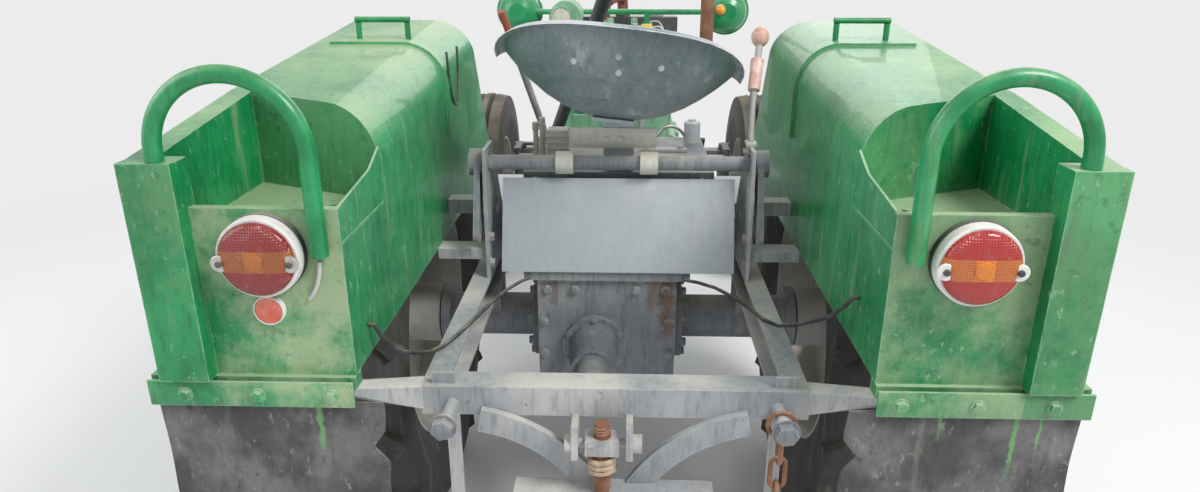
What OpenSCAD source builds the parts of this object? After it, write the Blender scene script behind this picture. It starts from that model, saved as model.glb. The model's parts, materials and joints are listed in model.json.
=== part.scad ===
// Small open farm tractor with box fenders, in millimetres.
// +Y points to the front of the tractor, +X to its right, and Z is up from the ground.
// Every module is drawn from the rear axle: Y 0 is the axle line, and place() sets the whole on the origin.

/* [Chassis] */
// Distance from the rear axle to the front axle
wheelbase = 1750; // [1650:10:1900]
// Height of the top of the frame rails
rail_top = 700; // [690:1:715]
// Height of a frame rail
rail_h = 80; // [70:1:90]
// Width of a frame rail
rail_w = 45; // [38:1:50]
// Outer face of the wide rear rails, from the middle
rear_rail_x = 345; // [335:1:355]
// Outer face of the narrow front rails, from the middle
front_rail_x = 230; // [222:1:240]
// How far the rear cross beam lies behind the axle
beam_back = 680; // [660:1:700]
// Leg of the angle section of the rear cross beam
beam_leg = 56; // [50:1:64]

/* [Rear wheels] */
// Outer diameter over the lugs
rear_d = 1060; // [1040:1:1070]
// Clear space between a rear tyre and the fender's walls
tyre_clear = 17; // [14:1:20]
// Diameter of a rear rim
rear_rim_d = 620; // [600:1:640]
// Height of a lug
lug_h = 24; // [16:1:30]
// Lugs on each side of a rear tyre
lug_count = 14; // [12:1:18]
// Thickness of a lug
lug_t = 30; // [24:1:34]
// Slant of a lug from the rolling direction
lug_slant = 50; // [42:1:56]

/* [Front wheels] */
// Outer diameter of a front tyre
front_d = 820; // [800:1:830]
// Width of a front tyre
front_w = 180; // [160:1:186]
// Distance between the middles of the front tyres
front_track = 1220; // [1214:1:1240]
// Diameter of a front rim
front_rim_d = 420; // [410:1:430]
// Distance between the kingpins
kingpin_track = 950; // [940:1:956]
// Length of the steering arms
steer_arm = 125; // [115:1:135]

/* [Fenders] */
// Inner face of a fender, from the middle
fender_in = 422; // [420:1:428]
// Outer face of a fender, from the middle
fender_out = 735; // [732:1:745]
// How far the rear plates lie behind the axle
plate_back = 770; // [760:1:790]
// Height of the lower edge of a fender
fender_low = 770; // [760:1:780]
// Height of the top at its rear edge
fender_rear_top = 1178; // [1165:1:1190]
// Height of the top at its front edge
fender_front_top = 1250; // [1235:1:1262]
// Radius of the rolled inner shoulder
shoulder_r = 100; // [80:1:120]
// Thickness of the sheet
sheet_t = 4; // [3:0.5:5]
// Width of the boxed outer wall
wall_box = 42; // [36:1:46]
// Height of the top edge of the rear plate
plate_top = 1056; // [1045:1:1065]
// Height of the floor of the rear tray
tray_z = 1000; // [990:1:1010]
// Height of the top of the outer rear post
post_top = 1132; // [1125:1:1140]
// How far the strip of the mud flap stands out past the fender
strip_over = 27; // [0:1:30]
// Diameter of the pipe of the large grab handles
grab_d = 28; // [24:1:32]
// Radius of the arch of a large grab handle
grab_r = 115; // [105:1:120]
// Diameter of a tail lamp
lamp_d = 132; // [126:1:140]
// Depth of a tail lamp
lamp_depth = 50; // [44:1:58]

/* [Seat] */
// Width of the seat pan
seat_w = 536; // [480:1:560]
// Height of the seat's back rim
seat_top = 1290; // [1280:1:1300]
// Depth of the pan below its side rims
seat_depth = 120; // [100:1:130]
// Drop of the rolled lip
seat_lip = 16; // [8:1:22]
// Tilt of the worn seat towards the right
seat_tilt = 6; // [0:0.5:8]

/* [Lift and hitch] */
// Height of the lift shaft
lift_z = 969; // [960:1:975]
// How far the lift shaft lies behind the axle
lift_back = 120; // [116:1:126]
// Diameter of the lift shaft
lift_d = 34; // [30:1:36]
// Length of a lift arm
lift_arm = 170; // [150:1:180]
// Diameter of the bare end of the power take-off shaft
pto_d = 35; // [32:1:38]
// Offset of the gearbox from the middle
box_x = -25; // [-30:1:-15]

/* [Steering] */
// Diameter of the steering wheel
wheel_rim_d = 400; // [380:1:420]
// Height of the middle of the steering wheel
wheel_z = 1290; // [1270:1:1310]

/* [Hidden] */
$fn = 64;
fit = 0.05;
gap = 0.3;
eps = 0.01;
front_reach = wheelbase + front_d / 2;
rear_reach = plate_back + lamp_depth;
axle_y = (rear_reach - front_reach) / 2;
rear_z = rear_d / 2;
wall_x = fender_out - wall_box;
rear_track = fender_in + sheet_t + wall_x;
rear_w = wall_x - fender_in - sheet_t - 2 * tyre_clear;
front_z = front_d / 2;
rail_low = rail_top - rail_h;
cover_y0 = -420;
cover_y1 = 360;
cover_nose_y = 600;
seat_flat = 0.25;
seat_roll = 0.93;
seat_rise = 106;
seat_rim_z = seat_top - 92;
seat_low = seat_depth * (1 - pow(seat_flat / seat_roll, 2.4));
seat_holes = [[-90, 1219], [0, 1230], [0, 1196], [86, 1206]];
cover_slope = atan((fender_front_top - fender_rear_top) / (cover_y1 - cover_y0));
tray_front_in = -540;
hub_in = rear_track / 2 - 109;
kingpin_x = kingpin_track / 2;
kingpin_d = 30;
pivot_d = 36;
axle_beam_z = 540;
drag_arm = 175;
drag_z = 588;
steer_box_y = 850;
steer_box_z = drag_z + drag_arm;
pto_x = box_x - 30;
stub_d = 70;
spindle_d = 44;
col_foot = [-225, steer_box_y, steer_box_z + 75];
col_head = [0, 330, wheel_z + 140];
engine_y = 830;
engine_l = 560;
head_z = 1050;
crank_z = 600;
cover_ys = [engine_y + 150, engine_y + 400];
canister_x = -187;
canister_z = 1225;
fan_y = 1440;
fan_z = 930;

// A block between two corners.
module blk(x, y, z) {
    translate([x[0], y[0], z[0]]) cube([x[1] - x[0], y[1] - y[0], z[1] - z[0]]);
}
// A round bar from p to q.
module bar(p, q, d) {
    v = q - p;
    translate(p) rotate([0, acos(v[2] / norm(v)), atan2(v[1], v[0])]) cylinder(d = d, h = norm(v));
}
// A round bar along X, starting at p.
module bar_x(p, l, d) {
    translate(p) rotate([0, 90, 0]) cylinder(d = d, h = l);
}
// A round bar along Y, starting at p.
module bar_y(p, l, d) {
    translate(p) rotate([-90, 0, 0]) cylinder(d = d, h = l);
}
// The same piece on the left and on the right.
module both() {
    children();
    mirror([1, 0, 0]) children();
}
module side(s) {
    if (s > 0) children();
    if (s < 0) mirror([1, 0, 0]) children();
}
// Moves a piece drawn from the rear axle to the part's origin.
module place(tint) {
    color(tint) translate([0, axle_y, 0]) children();
}
// A plate drawn as an outline in Y and Z, from x0 to x1.
module yz_plate(x0, x1, outline) {
    translate([x0, 0, 0]) rotate([90, 0, 90]) linear_extrude(x1 - x0) polygon(outline);
}

// FRAME AND HITCH
// A channel rail along Y, open towards the middle.
module rail(x1, y0, y1) {
    wall = 7;
    difference() {
        blk([x1 - rail_w, x1], [y0, y1], [rail_low, rail_top]);
        blk([x1 - rail_w - 1, x1 - wall], [y0 - 1, y1 + 1], [rail_low + wall, rail_top - wall]);
    }
}
cross_y0 = 340;
cross_y1 = 420;
nose_y = wheelbase + 190;
upright_t = 8;
upright_x = rear_rail_x - rail_w;
module frame() place("#8d9094") {
    both() {
        rail(rear_rail_x, -beam_back + beam_leg, cross_y1);
        rail(front_rail_x, cross_y1, nose_y);
        // Side plate that carries the lift shaft and the fender arms
        difference() {
            yz_plate(upright_x, upright_x + upright_t, [[-175, rail_top], [60, rail_top], [60, 800], [-60, lift_z + 38],
                [-165, lift_z + 38], [-175, 860]]);
            bar_x([upright_x - 1, -lift_back, lift_z], upright_t + 2, lift_d + 8);
            bar_x([upright_x - 1, -lift_back + 90, lift_z - 120], upright_t + 2, 60);
        }
        // Arms that hold the inner wall of the fender
        blk([upright_x + upright_t, fender_in], [-30, 15], [815, 850]);
        blk([upright_x + upright_t, fender_in], [-165, -110], [745, 770]);
    }
    blk([-upright_x, upright_x], [cross_y0, cross_y1], [rail_low, rail_top]);
    blk([-front_rail_x, front_rail_x], [nose_y, nose_y + 60], [rail_low, rail_top]);
    // Bridge over the front axle, with the two ears of its pivot
    blk([-front_rail_x + rail_w, front_rail_x - rail_w], [wheelbase - 65, wheelbase + 65], [rail_low, rail_low + 20]);
    for (y = [wheelbase - 65, wheelbase + 45]) difference() {
        blk([-45, 45], [y, y + 20], [axle_beam_z - 30, rail_low]);
        bar_y([0, y - 1, axle_beam_z], 22, pivot_d + 2 * fit);
    }
}
module rear_beam() place("#93969a") {
    leg = 8;
    difference() {
        union() {
            blk([-rear_rail_x, rear_rail_x], [-beam_back, -beam_back + leg], [rail_top - beam_leg, rail_top]);
            blk([-rear_rail_x, rear_rail_x], [-beam_back, -beam_back + beam_leg - gap], [rail_top - leg, rail_top]);
        }
    }
    both() {
        // Upturned tab at the end, and the arm out to the fender
        blk([rear_rail_x - 60, rear_rail_x - 20], [-beam_back + 10, -beam_back + 16], [rail_top, rail_top + 22]);
        hull() {
            blk([rear_rail_x - 3, rear_rail_x], [-beam_back, -beam_back + 40], [rail_top - 46, rail_top - 2]);
            blk([fender_in + 10, fender_in + 40], [-plate_back - 6, -plate_back + 22],
                [fender_low - 34, fender_low - 22 - gap]);
        }
        // Pin with its nut
        bar_y([hitch_pin_x, -beam_back - 82, hitch_pin_z], 82, 22);
        bar_y([hitch_pin_x, -beam_back - 76, hitch_pin_z], 14, 36);
        bar_y([hitch_pin_x, -beam_back + leg, hitch_pin_z], 10, 36);
    }
}
hitch_pin_x = 290;
hitch_pin_z = rail_top - 34;
brace_r = 290;
module hitch_braces() place("#8f9296") {
    y0 = -beam_back - 14;
    both() translate([-brace_r, y0 + 14 - gap, rail_top - beam_leg - brace_r]) rotate([90, 0, 0])
        rotate_extrude_arc(brace_r, 44, 14 - gap, 22, 80);
    blk([-180, 180], [y0 - 40, y0 + 14 - gap], [490, 512]);
    both() blk([hitch_pin_x - 12, hitch_pin_x + 12], [-beam_back, -beam_back + 7], [430, rail_top - beam_leg]);
}
// A flat ring sector in the XY plane, from angle a0 to a1, of middle radius r and width w.
module rotate_extrude_arc(r, w, t, a0, a1) {
    rotate([0, 0, a0]) rotate_extrude(angle = a1 - a0) translate([r - w / 2, 0]) square([w, t]);
}
module hitch_screw() place("#7c6c62") {
    y = -beam_back - 34;
    bar([-20, y, 512], [-20, y, 652], 26);
    blk([-50, 10], [y - 20, y + 20], [596, 626]);
    for (x = [-74, 22]) blk([x, x + 12], [y - 18, y + 34 - gap], [586, 650]);
    bar_x([-86, y, 611], 136, 18);
    bar_x([-86, y, 611], 12, 34);
    bar_x([34, y, 611], 16, 34);
}

// REAR AXLE AND GEARBOX
box_half = 165;
snout_y = -170;
module gearbox() place("#8b8f92") {
    difference() {
        union() {
            blk([box_x - box_half, box_x + box_half], [snout_y, cross_y0 - gap], [400, 700]);
            blk([box_x - box_half - 30, box_x + box_half + 30], [snout_y - 12, cross_y0 - gap], [700, 720]);
            // Lift housing on the top
            blk([-225, 225], [-90, 300], [720, lift_z - 30]);
            bar_y([pto_x, snout_y - 18, rear_z], 18, 150);
            translate([pto_x, snout_y - 18, rear_z]) rotate([90, 0, 0]) cylinder(d1 = 124, d2 = 96, h = 120);
            bar_y([pto_x, snout_y - 228, rear_z], 110, 80);
        }
        bar_y([pto_x, snout_y - 229, rear_z], 160, pto_d + 12 + 2 * fit);
    }
    // Bell housing that joins the engine
    blk([-150, 150], [cross_y0, engine_y], [430, rail_low - gap]);
}
module pto_shaft() place("#a5a7a6") {
    bar_y([pto_x, snout_y - 300, rear_z], 80, pto_d);
    bar_y([pto_x, snout_y - 228, rear_z], 158, pto_d + 12);
}
module axle_housing() place("#85898c") {
    for (s = [-1, 1]) {
        inner = s > 0 ? box_x + box_half : -(box_x - box_half);
        side(s) {
            bar_x([inner, 0, rear_z], hub_in - inner, 110);
            bar_x([inner, 0, rear_z], 22, 210);
            bar_x([hub_in - 24, 0, rear_z], 24, 160);
            bar_x([hub_in, 0, rear_z], 190, stub_d);
            blk([upright_x, rear_rail_x], [-48, 48], [rear_z, rail_low]);
        }
    }
}
module back_panel() place("#a9acb0") {
    tilt_y = [-190, -113];
    tilt_z = [724, 930];
    yz_plate(-270, 270, [[tilt_y[0], tilt_z[0]], [tilt_y[1], tilt_z[1]],
        [tilt_y[1] + 4, tilt_z[1] - 1], [tilt_y[0] + 4, tilt_z[0] - 1]]);
    for (x = [-200, 192]) yz_plate(x, x + 8, [[tilt_y[0] + 4, tilt_z[0] - 1],
        [tilt_y[1] + 4, tilt_z[1] - 1], [-90, tilt_z[1] - 1], [-90, tilt_z[0] - 1]]);
}
bearing_xs = [-124, 70];
module lift_bearings() place("#b3b2ac") {
    for (x = bearing_xs) difference() {
        union() {
            bar_x([x - 20, -lift_back, lift_z], 40, lift_d + 18);
            blk([x - 14, x + 14], [-lift_back + 10, -60], [lift_z - 30, lift_z + 10]);
        }
        bar_x([x - 21, -lift_back, lift_z], 42, lift_d + 2 * fit);
    }
}
module lift_shaft() place("#9a9c9b") {
    half = rear_rail_x - 25;
    bar_x([-half, -lift_back, lift_z], 2 * half, lift_d);
    both() {
        bar_x([upright_x + upright_t + 5, -lift_back, lift_z], 30, 62);
        // Lift arm, low and to the rear
        translate([upright_x + upright_t + 8, -lift_back, lift_z]) rotate([0, 90, 0]) rotate([0, 0, -115])
            difference() {
                linear_extrude(14) hull() { circle(d = 54); translate([0, lift_arm]) circle(d = 34); }
                translate([0, lift_arm, -1]) cylinder(d = 19, h = 16);
            }
    }
}

// SEAT
// Point of the pan: t runs from the middle (0) to the rim (1), a goes round, and i is the depth of the inner skin.
function seat_bowl(t) = seat_depth * (pow(min(1, t / seat_roll), 2.4) - 1) - seat_lip * pow(max(0, t - seat_roll) / (1 - seat_roll), 2);
function seat_back(a) = sin(a) < 0 ? seat_rise * pow(-sin(a), 0.8) : 10 * sin(a);
function seat_pt(t, a, i) = [
    (seat_w / 2 * t - i) * sign(cos(a)) * pow(abs(cos(a)), 0.7),
    20 * (1 - t) + (185 * t - i) * sign(sin(a)) * pow(abs(sin(a)), 0.7),
    i * 0.8 + seat_bowl(t) + pow((t - seat_flat) / (1 - seat_flat), 2) * seat_back(a)];
module seat_shell() {
    n = 44;
    ts = [seat_flat, 0.42, 0.57, 0.7, 0.8, 0.88, seat_roll, 0.97, 1];
    k = len(ts);
    outer = [for (t = ts) for (j = [0:n - 1]) seat_pt(t, 360 * j / n, 0)];
    inner = [for (m = [k - 1:-1:0]) for (j = [0:n - 1]) seat_pt(ts[m], 360 * j / n, 5)];
    rows = 2 * k;
    polyhedron(concat(outer, inner), concat(
        [[for (j = [0:n - 1]) j]],
        [for (m = [0:rows - 2]) for (j = [0:n - 1]) [m * n + j, (m + 1) * n + j, (m + 1) * n + (j + 1) % n]],
        [for (m = [0:rows - 2]) for (j = [0:n - 1]) [m * n + j, (m + 1) * n + (j + 1) % n, m * n + (j + 1) % n]],
        [[for (j = [n - 1:-1:0]) (rows - 1) * n + j]]));
}
module in_seat() {
    translate([0, -150, seat_rim_z]) rotate([0, seat_tilt, 0]) children();
}
module seat_pan() place("#8f989e") {
    difference() {
        in_seat() seat_shell();
        for (h = seat_holes) bar_y([h[0], -380, h[1]], 120, 12);
    }
}
// Spring leaf from the lift housing to the pad under the pan.
module seat_bracket() place("#878b8e") {
    in_seat() blk([-45, 45], [-40, 60], [-seat_low - 8, -seat_low - gap]);
    yz_plate(-35, 35, [[-60, lift_z - 30], [200, lift_z - 30], [200, lift_z - 20], [-50, lift_z - 20],
        [-120, 1062], [-90, seat_rim_z - seat_low - 5], [-130, seat_rim_z - seat_low - 5], [-134, 1060]]);
}

// FENDERS, drawn for the right side
function cover_z(y) = fender_rear_top + (y - cover_y0) * tan(cover_slope);
// Rear edge of the cover, which runs on from the inner wall to the outer wall.
function cover_rear(x) = tray_front_in + (x - fender_in) * (cover_y0 - tray_front_in) / (wall_x - fender_in);
module cover(i) {
    drop = i > 0 ? 1 : 0;
    over = 60;
    intersection() {
        translate([0, 0, fender_low - drop]) linear_extrude(600) polygon([
            [fender_in - over, cover_rear(fender_in - over) + i], [wall_x, cover_y0 + i],
            [fender_out + over, cover_y0 + i], [fender_out + over, cover_nose_y + over],
            [fender_in - over, cover_nose_y + over]]);
        yz_plate(fender_in - over, fender_out + over, [[tray_front_in - over, fender_low - over],
            [tray_front_in - over, fender_front_top + 78], [cover_y1 - 48, fender_front_top + 78 - i],
            [cover_nose_y - i, 860 - i], [cover_nose_y - i, fender_low - over]]);
        translate([0, cover_y0, fender_rear_top]) rotate([cover_slope, 0, 0]) translate([0, 1200, 0])
            rotate([90, 0, 0]) linear_extrude(1500) union() {
                translate([fender_in + i, -700]) square([fender_out - fender_in - 2 * i, 700 - shoulder_r]);
                translate([fender_in + shoulder_r, -700]) square([fender_out - fender_in - shoulder_r - i, 700 - i]);
                translate([fender_in + shoulder_r, -shoulder_r]) circle(r = shoulder_r - i);
            }
    }
}
module fender_shell() {
    difference() {
        union() {
            difference() {
                union() {
                    cover(0);
                    // Raised band over the cover
                    intersection() {
                        cover(-7);
                        blk([0, wall_x], [20, 50], [1000, 1400]);
                    }
                }
                cover(sheet_t);
            }
            // Floor of the tray behind the cover
            translate([0, 0, tray_z - sheet_t]) linear_extrude(sheet_t) polygon([[fender_in, -plate_back],
                [wall_x + 1, -plate_back], [wall_x + 1, cover_y0], [fender_in, tray_front_in]]);
            // Inner wall, rear plate with its turned edge, and outer post
            yz_plate(fender_in + 1, fender_in + sheet_t + 1, [[-plate_back, fender_low], [-plate_back, plate_top],
                [-600, plate_top + 18], [tray_front_in + 3, plate_top + 44], [tray_front_in + 3, fender_low]]);
            blk([fender_in, fender_out], [-plate_back, -plate_back + sheet_t], [fender_low, plate_top]);
            blk([fender_in, fender_out], [-plate_back, -plate_back + 16], [plate_top - sheet_t, plate_top]);
            blk([fender_out - 82, fender_out], [-plate_back - 30, -plate_back + 20], [fender_low, post_top]);
            // Boxed outer wall
            difference() {
                yz_plate(wall_x, fender_out, [[-plate_back, fender_low], [-plate_back, post_top],
                    [cover_y0 + 2, fender_rear_top], [cover_y0 + 2, fender_low]]);
                yz_plate(wall_x + sheet_t, fender_out - sheet_t, [[-plate_back, fender_low - 1],
                    [-plate_back, post_top - sheet_t], [cover_y0 + 3, fender_rear_top - sheet_t],
                    [cover_y0 + 3, fender_low - 1]]);
            }
            // Strip that carries the mud flap
            blk([fender_in, fender_out + strip_over], [-plate_back - 8, -plate_back + 22], [fender_low - 22, fender_low]);
        }
        // The cover's rear wall ends just below the tray, clear of the tyre
        blk([fender_in + 12, wall_x - 2], [tray_front_in - 6, cover_y0 + 40], [fender_low - 30, tray_z - 40]);
        // Square hole in the boxed wall and three-cornered hole in the tray floor
        blk([wall_x - 1, wall_x + sheet_t + 1], [-722, -700], [1062, 1092]);
        translate([0, 0, tray_z - 10]) linear_extrude(20) polygon([[500, -560], [640, -700], [500, -720]]);
    }
}
module fender_left() place("#1f9a55") side(-1) fender_shell();
module fender_right() place("#1f9a55") side(1) fender_shell();
// s is 1 on the right and -1 on the left.
module grab_handles(s) {
    y = -plate_back - grab_d / 2;
    x1 = fender_out - 53;
    x0 = x1 - 2 * grab_r;
    z = post_top + 14;
    translate([s * x1, y, post_top]) cylinder(d = grab_d, h = z - post_top + 2);
    translate([s * (x1 - grab_r), y, z]) rotate([90, 0, 0]) rotate_extrude(angle = 180)
        translate([grab_r, 0]) circle(d = grab_d - 1);
    translate([s * x0, y, 985]) cylinder(d = grab_d, h = z - 985 + 2);
    // Small handle on the cover
    hy = 85;
    hz = cover_z(hy) + gap;
    for (x = [520, 640]) translate([s * x, hy, hz]) cylinder(d = 14, h = 40);
    bar_x([s * 580 - 67, hy, hz + 47], 134, 14);
}
module grab_handle_left() place("#23a05a") grab_handles(-1);
module grab_handle_right() place("#23a05a") grab_handles(1);
lamp_x = fender_out - 192;
lamp_z = 985;
module tail_lamp() {
    translate([lamp_x, -plate_back, lamp_z]) rotate([90, 0, 0]) {
        cylinder(d = lamp_d, h = lamp_depth - 22);
        translate([0, 0, lamp_depth - 22]) cylinder(d1 = lamp_d - 8, d2 = lamp_d - 26, h = 22);
    }
}
module tail_lamp_left() place("#b5261c") side(-1) tail_lamp();
module tail_lamp_right() place("#b5261c") side(1) tail_lamp();
module reflector() place("#c03226") {
    translate([-lamp_x - 5, -plate_back, lamp_z - 96]) rotate([90, 0, 0]) cylinder(d = 50, h = 12);
}
module mud_flap() {
    blk([fender_in - 48, fender_out + strip_over - 7], [-plate_back - 14, -plate_back - 8], [430, fender_low - 6]);
}
module mud_flap_left() place("#3a3b3c") side(-1) mud_flap();
module mud_flap_right() place("#3a3b3c") side(1) mud_flap();

// WHEELS, drawn round the X axis
module tyre_body(d, w, rim_d, tread) {
    r = d / 2;
    b = rim_d / 2 + gap;
    rotate([0, 90, 0]) rotate_extrude($fn = 32) polygon(concat([[b, -w * 0.36],
        [b + (r - b) * 0.45, -w / 2], [r - 50, -w / 2 + 4]], tread,
        [[r - 50, w / 2 - 4], [b + (r - b) * 0.45, w / 2], [b, w * 0.36]]));
}
// A lug of the rear tread, drawn at the top of the wheel and running out and back.
module lug(s, turn) {
    r = rear_d / 2;
    reach = (rear_w / 2 - 4) / sin(lug_slant);
    rotate([turn, 0, 0]) rotate([0, 0, s * lug_slant]) yz_plate(-lug_t / 2, lug_t / 2, [[-6, r - lug_h - 14],
        [-6, r], [-reach, r - 34], [-reach, r - lug_h - 56]]);
}
module rear_tyre() {
    r = rear_d / 2;
    tyre_body(rear_d, rear_w, rear_rim_d, [[r - lug_h - 6, -rear_w * 0.32], [r - lug_h, 0], [r - lug_h - 6, rear_w * 0.32]]);
    for (i = [0:lug_count - 1]) {
        lug(1, i * 360 / lug_count);
        lug(-1, (i + 0.5) * 360 / lug_count);
    }
}
module front_tyre() {
    r = front_d / 2;
    groove = front_w * 0.06;
    rib = front_w * 0.13;
    tyre_body(front_d, front_w, front_rim_d, [[r - 12, -3 * rib - groove], [r - 3, -rib - groove], [r - 20, -rib],
        [r, -rib + groove], [r, rib - groove], [r - 20, rib], [r - 3, rib + groove], [r - 12, 3 * rib + groove]]);
}
// A rim with its disc and hub; hub_x0 is the inner end of the hub from the middle of the wheel.
module rim(rim_d, w, hub_x0, hub_d, bore_d, bore_to) {
    r = rim_d / 2;
    difference() {
        rotate([0, 90, 0]) rotate_extrude(convexity = 6) union() {
            polygon([[r - 8, -w * 0.36], [r, -w * 0.36], [r, w * 0.36], [r - 8, w * 0.36]]);
            translate([hub_d / 2 - 2, 20]) square([r - hub_d / 2 - 3, 9]);
            translate([0, hub_x0]) square([hub_d / 2, 60 - hub_x0]);
        }
        bar_x([hub_x0 - 1, 0, 0], bore_to - hub_x0 + 1, bore_d + 2 * fit);
        for (a = [0:60:300]) rotate([a, 0, 0]) translate([10, 0, (hub_d / 2 + r) / 2]) rotate([0, 90, 0])
            cylinder(d = (r - hub_d / 2) * 0.36, h = 40);
    }
}
module rear_wheel_at(s) translate([0, axle_y, rear_z]) side(s) translate([rear_track / 2, 0, 0]) children();
module front_wheel_at(s) translate([0, axle_y + wheelbase, front_z]) side(s) translate([front_track / 2, 0, 0]) children();
module rear_rim() rim(rear_rim_d, rear_w, hub_in + 5 - rear_track / 2, 150, stub_d, hub_in + 192 - rear_track / 2);
module front_rim() rim(front_rim_d, front_w, kingpin_x + 37 - front_track / 2, 100, spindle_d, 42);
module rear_tyre_left() color("#2c2c2b") rear_wheel_at(-1) rear_tyre();
module rear_tyre_right() color("#2c2c2b") rear_wheel_at(1) rear_tyre();
module rear_rim_left() color("#8d8f8e") rear_wheel_at(-1) rear_rim();
module rear_rim_right() color("#8d8f8e") rear_wheel_at(1) rear_rim();
module front_tyre_left() color("#2c2c2b") front_wheel_at(-1) front_tyre();
module front_tyre_right() color("#2c2c2b") front_wheel_at(1) front_tyre();
module front_rim_left() color("#8d8f8e") front_wheel_at(-1) front_rim();
module front_rim_right() color("#8d8f8e") front_wheel_at(1) front_rim();

// FRONT AXLE AND STEERING
boss_low = 470;
boss_top = 580;
arm_t = 14;
module front_axle() place("#83878a") {
    y = wheelbase;
    blk([-kingpin_x + 20, kingpin_x - 20], [y - 32, y + 32], [axle_beam_z - 30, axle_beam_z + 30]);
    bar_y([0, y - 75, axle_beam_z], 150, pivot_d);
    both() difference() {
        translate([kingpin_x, y, boss_low]) cylinder(d = 58, h = boss_top - boss_low);
        translate([kingpin_x, y, boss_low - 1]) cylinder(d = kingpin_d + 2 * fit, h = boss_top - boss_low + 2);
    }
}
// Right knuckle; the left one also has the arm of the drag link.
module knuckle(with_drag) {
    y = wheelbase;
    difference() {
        union() {
            translate([kingpin_x, y, front_z]) cylinder(d = kingpin_d, h = boss_top + 3 + arm_t - front_z);
            translate([kingpin_x, y, front_z - 30]) cylinder(d = 56, h = boss_low - 3 - front_z + 30);
            bar_x([kingpin_x, y, front_z], 175, spindle_d);
            translate([kingpin_x, y, boss_top + 3]) cylinder(d = 50, h = arm_t);
            blk([kingpin_x - 14, kingpin_x + 14], [y - steer_arm, y], [boss_top + 3, boss_top + 3 + arm_t]);
            translate([kingpin_x, y - steer_arm, 545]) cylinder(d = 14, h = boss_top + 10 - 545);
            if (with_drag) {
                blk([kingpin_x - drag_arm, kingpin_x], [y - 14, y + 14], [boss_top + 3, boss_top + 3 + arm_t]);
                translate([kingpin_x - drag_arm, y, boss_top + 3]) cylinder(d = 14, h = arm_t + 24);
            }
        }
    }
}
module knuckle_left() place("#7b7f82") side(-1) knuckle(true);
module knuckle_right() place("#7b7f82") side(1) knuckle(false);
tie_z = 562;
module tie_rod() place("#76797b") {
    y = wheelbase - steer_arm;
    difference() {
        union() {
            for (x = [-kingpin_x, kingpin_x]) translate([x, y, tie_z - 11]) cylinder(d = 38, h = 22);
            bar_x([-kingpin_x + 16, y, tie_z], 2 * kingpin_x - 32, 20);
        }
        translate([-kingpin_x, y, tie_z - 12]) cylinder(d = 14 + 2 * fit, h = 24);
        translate([kingpin_x, y, tie_z - 12]) cylinder(d = 18, h = 24);
    }
}
module drag_link() place("#76797b") {
    x = -kingpin_x + drag_arm;
    z = boss_top + 3 + arm_t + 13;
    difference() {
        union() {
            translate([x, wheelbase, z - 11]) cylinder(d = 36, h = 22);
            bar_y([x, steer_box_y, z], wheelbase - steer_box_y - 14, 18);
        }
        translate([x, wheelbase, z - 12]) cylinder(d = 14 + 2 * fit, h = 24);
    }
}
arm_x = -kingpin_x + drag_arm + 16;
module steering_arm() place("#7b7f82") {
    difference() {
        union() {
            bar_x([arm_x, steer_box_y, steer_box_z], 12, 60);
            blk([arm_x, arm_x + 12], [steer_box_y - 15, steer_box_y + 15], [drag_z - 6, steer_box_z]);
            bar_x([arm_x + 10, steer_box_y, steer_box_z], 50, 30);
        }
    }
}
module steering_column() place("#3f4446") {
    difference() {
        blk([arm_x + 17, -front_rail_x + rail_w], [steer_box_y - 60, steer_box_y + 60], [rail_top, steer_box_z + 70]);
        bar_x([arm_x + 16, steer_box_y, steer_box_z], 48, 30 + 2 * fit);
    }
    difference() {
        bar(col_head, col_head + (col_foot - col_head) * 1.06, 42);
        bar(col_head + (col_foot - col_head) * 0.4, col_head + (col_head - col_foot) * 0.1, 22 + 2 * fit);
    }
}
module steering_wheel() place("#26282a") {
    v = col_head - col_foot;
    translate(col_head) rotate([0, acos(v[2] / norm(v)), atan2(v[1], v[0])]) {
        translate([0, 0, -120]) cylinder(d = 22, h = 150);
        translate([0, 0, 8]) cylinder(d = 70, h = 24);
        translate([0, 0, 36]) rotate_extrude() translate([wheel_rim_d / 2 - 12, 0]) circle(d = 24, $fn = 24);
        for (a = [90:120:330]) rotate([0, 0, a]) rotate([0, 90 - 5, 0]) translate([-20, 0, 0])
            cylinder(d = 14, h = wheel_rim_d / 2 - 20);
    }
}

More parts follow.
